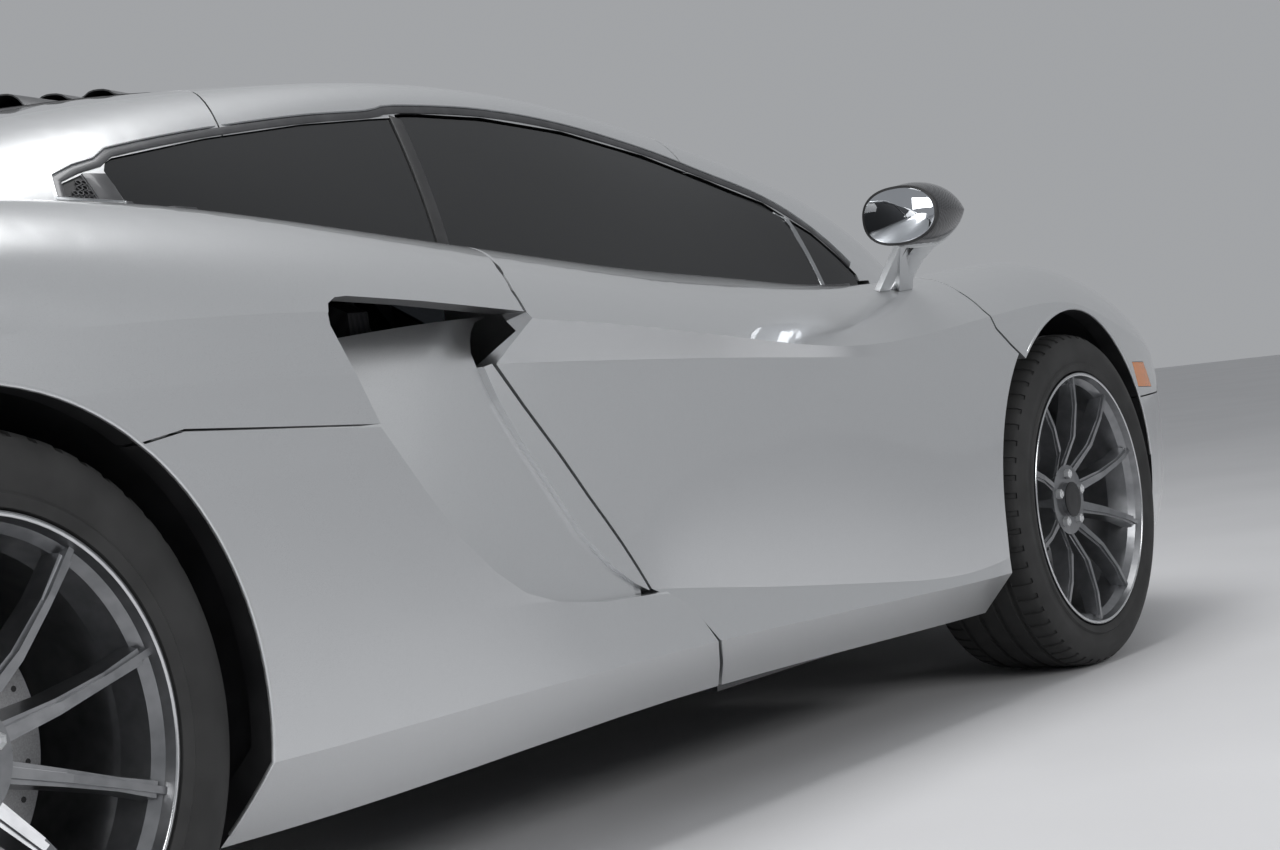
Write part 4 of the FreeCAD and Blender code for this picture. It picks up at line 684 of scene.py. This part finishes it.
def belt_point(x):
    """Last point of the shoulder outboard of the glass at this x, with its direction."""
    last = None
    for k in range(BELT_STEPS):
        y = BELT_OUTER_Y + BELT_STEP * k
        shoulder, pane = from_above(shoulder_tree, x, y), from_above(glass_tree, x, y)
        if pane is not None and (shoulder is None or pane[0].z > shoulder[0].z):
            break
        if shoulder is not None and shoulder[0].z > LEAST_BELT_Z:
            last = shoulder
    return last


def belt_line(first, last, count):
    """The belt from one x to another; places and directions are averaged along it."""
    line = []
    for k in range(count + 1):
        found = belt_point(first + (last - first) * k / count)
        if found is not None:
            line.append(found)
    smoothed = []
    for k, (point, normal) in enumerate(line):
        near = [line[j][0] for j in range(max(k - 2, 0), min(k + 3, len(line)))]
        middle = sum(near, Vector()) / len(near)
        smoothed.append((Vector((point.x, middle.y, middle.z)), normal))
    return even_normals(smoothed, 6)


door_belt = ribbon("belt_moulding_right", belt_line(-0.385, 0.790, 60), 0.008, 0.010, 0.0055)
finish_door_pair(door_belt, "belt_moulding", "black_plastic", satin_trim)
rear_belt = ribbon("rear_belt_moulding", belt_line(-0.915, -0.405, 26), 0.008, 0.008, 0.0040)
finish_both_sides(rear_belt, "black_plastic", satin_trim)

# %% Division bar of the door's front corner glass
door_pane_tree = surface_tree("door_glass_right")
BAR_TOP, BAR_FOOT = Vector((0.725, -0.596, 0.962)), Vector((0.700, -0.722, 0.790))
BAR_STEPS = 8
bar_line = []
for k in range(BAR_STEPS + 1):
    point, normal, _, _ = door_pane_tree.find_nearest(BAR_TOP.lerp(BAR_FOOT, k / BAR_STEPS))
    bar_line.append((point, normal if normal.y < 0.0 else -normal))
bar = ribbon("division_bar_right", even_normals(bar_line), 0.012, 0.004, 0.002)
finish_door_pair(bar, "division_bar", "rim", bright_trim)

# %% Rear pillar: the satin fillet between the last pane and the vent
fillet_line = even_normals(side_line(side_shell, [(-0.944, 0.992), (-0.944, 0.960), (-0.944, 0.926)], 0.01))
fillet = ribbon("rear_pillar_fillet", fillet_line, 0.040, 0.005, 0.002, soften=0.45)
finish_both_sides(fillet, "black_plastic", satin_trim)

# %% Vent mesh: open six-sided cells on the vent's surface, under its slanted upper edge
VENT_CELL = 0.0085
VENT_REAR_X, VENT_FRONT_X, VENT_FOOT_Z = -1.012, -0.968, 0.934
EDGE_X, EDGE_Z, EDGE_SLOPE = -1.016, 0.955, 0.62
ROW_RISE = 0.866 * VENT_CELL
vent_tree = surface_tree("side_vents")
spots = []
for row in range(8):
    for column in range(7):
        x = VENT_REAR_X + VENT_CELL * (column + 0.5 * (row % 2))
        z = VENT_FOOT_Z + ROW_RISE * row
        if x <= VENT_FRONT_X and z <= EDGE_Z + (x - EDGE_X) * EDGE_SLOPE:
            spots.append(on_side(vent_tree, x, z))
spots = [spot for spot in spots if spot is not None]
bpy.ops.object.select_all(action="DESELECT")
bpy.ops.mesh.primitive_cylinder_add(vertices=6, radius=VENT_CELL * 0.56, depth=0.003, end_fill_type="NOTHING")
cell = bpy.context.object
settle(cell)
thicken(cell, 0.0012)
cells = []
for place, normal in spots:
    turn = normal.to_track_quat("Z", "X").to_matrix().to_4x4()
    cells.append(copy_of(cell, "vent_cell", Matrix.Translation(place + 0.0012 * normal) @ turn))
bpy.data.objects.remove(cell)
finish_both_sides(join("vent_mesh", cells), "black_plastic", satin_trim)
print("vent cells", len(spots))

# %% Painted shade: a black sheet behind the rear end of the last side pane, where the engine bay begins, in place of the shaded space seen through the glass
backing_tree = surface_tree("quarter_glass")
BACKING_ROWS, BACKING_COLUMNS = 9, 13
BACKING_REAR_X, BACKING_LENGTH = -0.918, 0.270
BACKING_FOOT_Z, BACKING_TOP_Z, TOP_SLOPE = 0.880, 0.990, 0.22
BEHIND_PANE = Vector((0.0, 0.012, -0.004))
corners = []
for row in range(BACKING_ROWS):
    for column in range(BACKING_COLUMNS):
        x = BACKING_REAR_X + BACKING_LENGTH * column / (BACKING_COLUMNS - 1.0)
        top = BACKING_TOP_Z + (x - BACKING_REAR_X) * TOP_SLOPE
        z = BACKING_FOOT_Z + (top - BACKING_FOOT_Z) * row / (BACKING_ROWS - 1.0)
        point, _, _, _ = backing_tree.find_nearest(Vector((x, -0.65, z)))
        corners.append(point + BEHIND_PANE)
# The black sheet is painted shade: it darkens what shows through the pane.
shade_sheet = new_piece("painted_shade_backing", corners, grid_faces(BACKING_ROWS, BACKING_COLUMNS))
thicken(shade_sheet, 0.002)
face_outward(shade_sheet)
finish_both_sides(shade_sheet, "black_plastic", dark_satin)


# %% [markdown]
# ## Painted panels have a black inside
# A body panel is painted on its outer face, and its back is trimmed or coated black. Each face of a painted
# node is judged by its own direction: one that looks towards the car's inside, or towards a wheel from the
# arch, takes the black finish. Only the material index of a face changes, never a vertex.

# %% Inner faces of the painted panels
ARCHES = {"front": (1.2035, 0.3235, 0.372), "rear": (-1.4665, 0.3455, 0.388)}
LEAST_ARCH_RADIUS = 0.2
CABIN_AXIS_Z = 0.35
NEAR_AXIS = 0.05
FACES_WHEEL, FACES_AXIS = 0.5, 0.25
MIRROR_LEG_TOP = 0.826


def looks_inward(centre, normal):
    """True for a face whose back is the car's skin: it faces the long axis, or a wheel in its arch."""
    for x, z, radius in ARCHES.values():
        out = Vector((centre.x - x, 0.0, centre.z - z))
        if LEAST_ARCH_RADIUS < out.length < radius and -normal.dot(out.normalized()) > FACES_WHEEL:
            return True
    toward = Vector((0.0, -centre.y, CABIN_AXIS_Z - centre.z))
    return toward.length >= NEAR_AXIS and normal.dot(toward.normalized()) > FACES_AXIS


def paint_faces(name, material, is_picked):
    """Gives a second material to the picked faces of a frame node."""
    mesh = nodes[name].data
    mesh.materials.append(material)
    for polygon in mesh.polygons:
        if is_picked(polygon):
            polygon.material_index = 1


for name, slot in slots_of.items():
    if slot == "paint" and name != "intake_ramps":
        paint_faces(name, dark_satin, lambda polygon: looks_inward(polygon.center, polygon.normal))

# %% Legs of the mirror heads take the body's silver
for name in ("mirror_left", "mirror_right"):
    paint_faces(name, finishes["paint"], lambda polygon: polygon.center.z < MIRROR_LEG_TOP)


# %% [markdown]
# ## Mirrors
# The head is a carbon shell on a silver arm. The glass sits in a dark bezel on its rear face, and the arm
# sweeps from a foot on the door to run under the head.

# %% Mirror glass, bezel and arm
MIRROR_FACE_X = 0.522
MIRROR_MIDDLE_Y, MIRROR_MIDDLE_Z = -0.966, 0.877
SQUARENESS_UP, SQUARENESS_TO_CAR = 0.86, 0.80


def mirror_plate(name, half_width, half_height, depth, front_x):
    """D-shaped plate facing back: rounder on the outer side than towards the car."""
    bpy.ops.object.select_all(action="DESELECT")
    bpy.ops.mesh.primitive_cylinder_add(vertices=64, radius=1.0, depth=depth,
                                        rotation=(0.0, math.pi / 2.0, 0.0))
    plate = bpy.context.object
    plate.name = name
    settle(plate)
    for vertex in plate.data.vertices:
        across, up = vertex.co.y, vertex.co.z
        if across > 0.0:
            across = across ** SQUARENESS_TO_CAR
        up = math.copysign(abs(up) ** SQUARENESS_UP, up)
        vertex.co = (front_x + depth / 2.0 + vertex.co.x, MIRROR_MIDDLE_Y + half_width * across,
                     MIRROR_MIDDLE_Z + half_height * up)
    fronts = {polygon.index for polygon in plate.data.polygons if polygon.normal.x < -0.9}
    open_edit(plate, fronts)
    bpy.ops.mesh.inset(thickness=0.0015, depth=0.0008)
    close_edit()
    smooth(plate, 40.0)
    return plate


bezel = mirror_plate("mirror_bezel_right", 0.072, 0.0500, 0.006, MIRROR_FACE_X - 0.0030)
glass = mirror_plate("mirror_glass_right", 0.067, 0.0455, 0.003, MIRROR_FACE_X - 0.0046)
for side, matrix in (("left", MIRROR_Y), ("right", Matrix.Identity(4))):
    for model, word, slot, material in ((bezel, "mirror_bezel", "black_plastic", dark_satin),
                                        (glass, "mirror_glass", "glass", mirror_face)):
        finish_piece(copy_of(model, "%s_%s" % (word, side), matrix), slot, "door_" + side, material)
bpy.data.objects.remove(bezel)
bpy.data.objects.remove(glass)

ARM_SECTIONS = [((0.760, -0.782, 0.733), 0.042, 0.009), ((0.752, -0.806, 0.748), 0.033, 0.010),
                ((0.728, -0.846, 0.777), 0.026, 0.010), ((0.690, -0.892, 0.806), 0.024, 0.009),
                ((0.645, -0.940, 0.824), 0.026, 0.008), ((0.605, -0.985, 0.834), 0.028, 0.006),
                ((0.575, -1.018, 0.850), 0.020, 0.004)]
ARM_CORNERS = 16
STEPS_PER_SECTION = 4


def swept_arm(name, sections):
    """Oval tube through (centre, half width, half height) sections, capped at both ends."""
    fine = []
    for (a, wa, ha), (b, wb, hb) in zip(sections, sections[1:]):
        for j in range(STEPS_PER_SECTION):
            t = j / STEPS_PER_SECTION
            fine.append((Vector(a).lerp(Vector(b), t), wa + (wb - wa) * t, ha + (hb - ha) * t))
    fine.append((Vector(sections[-1][0]), sections[-1][1], sections[-1][2]))
    last = len(fine) - 1
    corners, faces = [], []
    for k, (centre, width, height) in enumerate(fine):
        way = (fine[min(k + 1, last)][0] - fine[max(k - 1, 0)][0]).normalized()
        across = Vector((1.0, 0.0, 0.0))
        across = (across - way * across.dot(way)).normalized()
        up = across.cross(way).normalized()
        for j in range(ARM_CORNERS):
            angle = 2.0 * math.pi * j / ARM_CORNERS
            corners.append(centre + across * (width * math.cos(angle)) + up * (height * math.sin(angle)))
    for k in range(last):
        here, there = k * ARM_CORNERS, (k + 1) * ARM_CORNERS
        for j in range(ARM_CORNERS):
            ahead = (j + 1) % ARM_CORNERS
            faces.append((here + j, here + ahead, there + ahead, there + j))
    faces.append(tuple(range(ARM_CORNERS)))
    faces.append(tuple(reversed(range(last * ARM_CORNERS, len(fine) * ARM_CORNERS))))
    piece = new_piece(name, corners, faces)
    face_outward(piece)
    smooth(piece, 60.0)
    return piece


finish_door_pair(swept_arm("mirror_arm_right", ARM_SECTIONS), "mirror_arm", "paint")


# %% [markdown]
# ## Seats and dashboard
# The frame's seats are blocks that hold the room. The real ones are stuffed: both are rounded from a copy of
# their blocks and swollen by a cloth simulation with pressure inside. The dashboard is rounded in the same way.

# %% Rounded and padded copies of the frame's blocks
def rounded_copy(source, name, voxel, smoothing):
    """Copy of a node with merged corners, remeshed in even quads and smoothed."""
    piece = copy_of(nodes[source], name, Matrix.Identity(4))
    piece.parent = None
    open_edit(piece)
    bpy.ops.mesh.remove_doubles(threshold=0.0002)
    close_edit()
    remesh = piece.modifiers.new("even quads", "REMESH")
    remesh.mode = "VOXEL"
    remesh.voxel_size = voxel
    only(piece)
    bpy.ops.object.modifier_apply(modifier=remesh.name)
    relax = piece.modifiers.new("relax", "SMOOTH")
    relax.factor = 0.5
    relax.iterations = smoothing
    bpy.ops.object.modifier_apply(modifier=relax.name)
    return piece


def puff(piece, pressure, frames, cap):
    """Lets the piece swell as stuffed cloth for some frames, and keeps each point within the cap."""
    rest = [vertex.co.copy() for vertex in piece.data.vertices]
    cloth = piece.modifiers.new("stuffing", "CLOTH")
    cloth.settings.use_pressure = True
    cloth.settings.uniform_pressure_force = pressure
    cloth.settings.effector_weights.gravity = 0.0
    cloth.settings.quality = 4
    for frame_number in range(1, frames + 1):
        bpy.context.scene.frame_set(frame_number)
    only(piece)
    bpy.ops.object.modifier_apply(modifier=cloth.name)
    bpy.context.scene.frame_set(1)
    for vertex, start in zip(piece.data.vertices, rest):
        move = vertex.co - start
        if move.length > cap:
            vertex.co = start + move.normalized() * cap


seats = rounded_copy("seats", "padded_seats", 0.012, 10)
puff(seats, pressure=4.0, frames=20, cap=0.012)
finish_piece(seats, "leather", "body")
smooth(seats, 80.0)
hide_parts("seats")
print("seats", len(seats.data.polygons))

dash = rounded_copy("dashboard", "wrapped_dashboard", 0.010, 8)
finish_piece(dash, "leather", "body")
smooth(dash, 80.0)
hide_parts("dashboard")
print("dashboard", len(dash.data.polygons))


# %% [markdown]
# ## Arch lips
# Each wheel opening has a thin rolled lip, an arc of narrow band that lies on the panel's edge.

# %% Arch lips, from one angle to another above the ground
LIP_STEPS = 72
LEAST_ARCH_Y = -0.75
LIP_ARCS = {"front": (0.3695, 8.0, 176.0, surface_tree("front_wings", "front_bumper")),
            "rear": (0.3845, -30.0, 196.0, surface_tree("rear_haunches", "rear_lower_quarters", "rear_bumper"))}
for axle, (radius, first, last, tree) in LIP_ARCS.items():
    x, z, _ = ARCHES[axle]
    line = []
    for k in range(LIP_STEPS + 1):
        angle = math.radians(first + (last - first) * k / LIP_STEPS)
        found = on_side(tree, x + radius * math.cos(angle), z + radius * math.sin(angle))
        if found is not None and found[0].y < LEAST_ARCH_Y:
            line.append(found)
    lip = ribbon("arch_lip_" + axle, even_normals(even_depth(line, 1)), 0.006, 0.006, 0.0015, soften=0.45)
    finish_both_sides(lip, "paint")

# %% [markdown]
# ## Engine cover
# Two rows of scoops stand along the cover's slots, and the window over the engine lies under a fine mesh.

# %% Scoops beside the cover's window
cover_tree = surface_tree("engine_cover")
SLOT_ROWS = [-0.530 - 0.090 * k for k in range(10)]
SLOT_REACH = 0.050
SLOT_MIDDLE_Y = 0.262
SLOT_HALF_WIDTH = 0.036
SCOOP_ROWS, SCOOP_COLUMNS = 7, 9
PROBE_AHEAD, PROBE_BESIDE = 0.012, 0.010
HOOD_AHEAD, HOOD_BESIDE, HOOD_OVERHANG = 0.010, 0.006, 0.014
EDGE_HEIGHT, HOOD_HEIGHT = 0.002, 0.016


def scoop(x, y):
    """Thin curved hood that rises towards the back and is open there, with its sides on the cover."""
    found = from_above(cover_tree, x + PROBE_AHEAD, y)
    if found is None:
        return None
    slope = -found[1].x / found[1].z
    corners = []
    for row in range(SCOOP_ROWS):
        t = row / (SCOOP_ROWS - 1.0)
        px = x + HOOD_AHEAD - (SLOT_REACH + HOOD_OVERHANG) * t
        rise = EDGE_HEIGHT + HOOD_HEIGHT * t ** 0.8
        for column in range(SCOOP_COLUMNS):
            s = -1.0 + 2.0 * column / (SCOOP_COLUMNS - 1.0)
            spot = from_above(cover_tree, x + PROBE_AHEAD, y + s * (SLOT_HALF_WIDTH + PROBE_BESIDE))
            ground = (spot or found)[0]
            height = ground.z + (px - ground.x) * slope + rise * (1.0 - abs(s) ** 3)
            corners.append((px, y + s * (SLOT_HALF_WIDTH + HOOD_BESIDE), height))
    piece = new_piece("scoop", corners, grid_faces(SCOOP_ROWS, SCOOP_COLUMNS))
    thicken(piece, 0.0022, offset=0.0)
    face_outward(piece)
    smooth(piece, 50.0)
    return piece


scoops = [scoop(x, y) for x in SLOT_ROWS for y in (-SLOT_MIDDLE_Y, SLOT_MIDDLE_Y)]
scoops = [piece for piece in scoops if piece is not None]
finish_piece(join("cover_scoops", scoops), "black_plastic", "body", satin_trim)
print("scoops", len(scoops))

# %% Mesh over the cover's window: crossed wires laid on the cover's own slope
WINDOW_FRONT, WINDOW_REAR, WINDOW_HALF = -0.726, -1.244, 0.184
FRAME_FRONT, FRAME_REAR = -0.712, -1.258
WIRE_PITCH = 0.012
WIRE_STEP = WIRE_PITCH * 1.4
WIRE_STEPS = 8
WIRE_HALF, WIRE_LEAN = 0.0011, 0.7
WIRE_DEPTH, LAYER_HALF = 0.006, 0.0006
SECTION = ((WIRE_HALF, 0.0), (0.0, WIRE_HALF), (-WIRE_HALF, 0.0), (0.0, -WIRE_HALF))


def cover_height(x, y):
    """Height of the cover's top beside its window, for wires that span it."""
    front, back = (from_above(cover_tree, end, y)[0].z for end in (FRAME_FRONT, FRAME_REAR))
    return front + (back - front) * ((x - FRAME_FRONT) / (FRAME_REAR - FRAME_FRONT))


def wire_points(start, tilt):
    """Places of one wire inside the window; it crosses at 45 degrees, and tilt says which way."""
    points = []
    for k in range(WIRE_STEPS + 1):
        y = -WINDOW_HALF + 2.0 * WINDOW_HALF * k / WIRE_STEPS
        x = WINDOW_REAR + start + tilt * y
        if WINDOW_REAR <= x <= WINDOW_FRONT:
            points.append((x, y, cover_height(x, y) - WIRE_DEPTH + LAYER_HALF * tilt))
    return points


def window_wires():
    """Two layers of four-sided wires, which cross each other."""
    corners, faces = [], []
    for tilt in (-1.0, 1.0):
        start = -WINDOW_HALF * 2.0
        while start < (WINDOW_FRONT - WINDOW_REAR) + WINDOW_HALF * 2.0:
            points = wire_points(start, tilt)
            start += WIRE_STEP
            if len(points) < 2:
                continue
            first = len(corners)
            corners += [(x + dy * WIRE_LEAN, y + dy, z + dz) for x, y, z in points for dy, dz in SECTION]
            end = len(corners) - 4
            for a in range(first, end):
                b = a + 1 if (a - first) % 4 < 3 else a - 3
                faces.append((a, b, b + 4, a + 4))
            faces += [(first + 3, first + 2, first + 1, first), (end, end + 1, end + 2, end + 3)]
    piece = new_piece("window_mesh", corners, faces)
    face_outward(piece)
    return piece


finish_piece(window_wires(), "black_plastic", "body", satin_trim)

# %% Painted filler where ramp, quarter and door meet, a little under the skin
FILLER = [(-0.318, 0.374), (-0.290, 0.371), (-0.267, 0.364), (-0.267, 0.338), (-0.318, 0.338)]
FILLER_OUTER_Y, FILLER_INNER_Y = -0.900, -0.892
corners = [(x, y, z) for y in (FILLER_OUTER_Y, FILLER_INNER_Y) for x, z in FILLER]
count = len(FILLER)
faces = [tuple(range(count)), tuple(range(2 * count - 1, count - 1, -1))]
faces += [(k, (k + 1) % count, count + (k + 1) % count, count + k) for k in range(count)]
filler = new_piece("ramp_foot_filler", corners, faces)
face_outward(filler)
finish_both_sides(filler, "paint")


# %% [markdown]
# ## Stage, light and camera
# The floor is plain and pale. A broad lamp overhead, one at each side and one at the back give the long soft
# reflections that show how the panels curve.

# %% Floor
FLOOR_SIZE = 60.0
bpy.ops.mesh.primitive_plane_add(size=FLOOR_SIZE, location=(0.0, 0.0, 0.0))
floor = bpy.context.object
floor.name = "studio_floor"
floor_material, floor_tree, floor_shader, floor_place = new_finish("studio floor", Roughness=0.55)
floor_patches = add_noise(floor_tree, floor_place, 1.2)
floor_shade = add_ramp(floor_tree, floor_patches, (0.60, 0.60, 0.61), (0.64, 0.64, 0.65))
floor_tree.links.new(floor_shade, floor_shader.inputs["Base Color"])
give_material(floor, floor_material)


# %% Lamps and the sky
def add_lamp(name, place, target, size, power):
    bpy.ops.object.light_add(type="AREA", location=place)
    lamp = bpy.context.object
    lamp.name = name
    lamp.data.shape = "RECTANGLE"
    lamp.data.size, lamp.data.size_y = size
    lamp.data.energy = power
    aim = Vector(target) - Vector(place)
    lamp.rotation_euler = aim.to_track_quat("-Z", "Y").to_euler()


add_lamp("overhead", (-0.4, -0.5, 5.0), (-0.4, 0.0, 0.0), (5.2, 2.2), 165.0)
add_lamp("near side", (-1.5, -6.5, 3.2), (0.0, 0.0, 0.6), (6.0, 1.6), 150.0)
add_lamp("rear", (-7.0, -0.5, 2.8), (0.0, 0.0, 0.6), (3.5, 1.8), 110.0)
add_lamp("far side", (1.0, 6.5, 3.0), (0.0, 0.0, 0.6), (6.0, 1.6), 110.0)

world = bpy.data.worlds.new("studio")
bpy.context.scene.world = world
world.use_nodes = True
background = world.node_tree.nodes["Background"]
background.inputs["Color"].default_value = (0.80, 0.82, 0.85, 1.0)
background.inputs["Strength"].default_value = 0.45

# %% Camera at the photograph's place
CAMERA_PLACE = Vector((-2.973, -2.836, 0.640))
CAMERA_YAW = math.radians(35.1)
CAMERA_PITCH = math.radians(-0.89)
CAMERA_ROLL = math.radians(-6.99)
FOCAL_PIXELS = 2325.8
PHOTO_WIDTH = 1280.0
SENSOR_WIDTH = 36.0

forward = Vector((math.cos(CAMERA_PITCH) * math.cos(CAMERA_YAW),
                  math.cos(CAMERA_PITCH) * math.sin(CAMERA_YAW), math.sin(CAMERA_PITCH)))
side = Vector((math.sin(CAMERA_YAW), -math.cos(CAMERA_YAW), 0.0))
upward = side.cross(forward)
right = math.cos(CAMERA_ROLL) * side + math.sin(CAMERA_ROLL) * upward
top = -math.sin(CAMERA_ROLL) * side + math.cos(CAMERA_ROLL) * upward
camera_data = bpy.data.cameras.new("camera")
camera_data.sensor_width = SENSOR_WIDTH
camera_data.lens = FOCAL_PIXELS * SENSOR_WIDTH / PHOTO_WIDTH
camera = bpy.data.objects.new("camera", camera_data)
bpy.context.scene.collection.objects.link(camera)
camera.matrix_world = Matrix.Translation(CAMERA_PLACE) @ Matrix((
    (right.x, top.x, -forward.x, 0.0), (right.y, top.y, -forward.y, 0.0),
    (right.z, top.z, -forward.z, 0.0), (0.0, 0.0, 0.0, 1.0)))
bpy.context.scene.camera = camera
bpy.context.scene.view_settings.view_transform = "Standard"
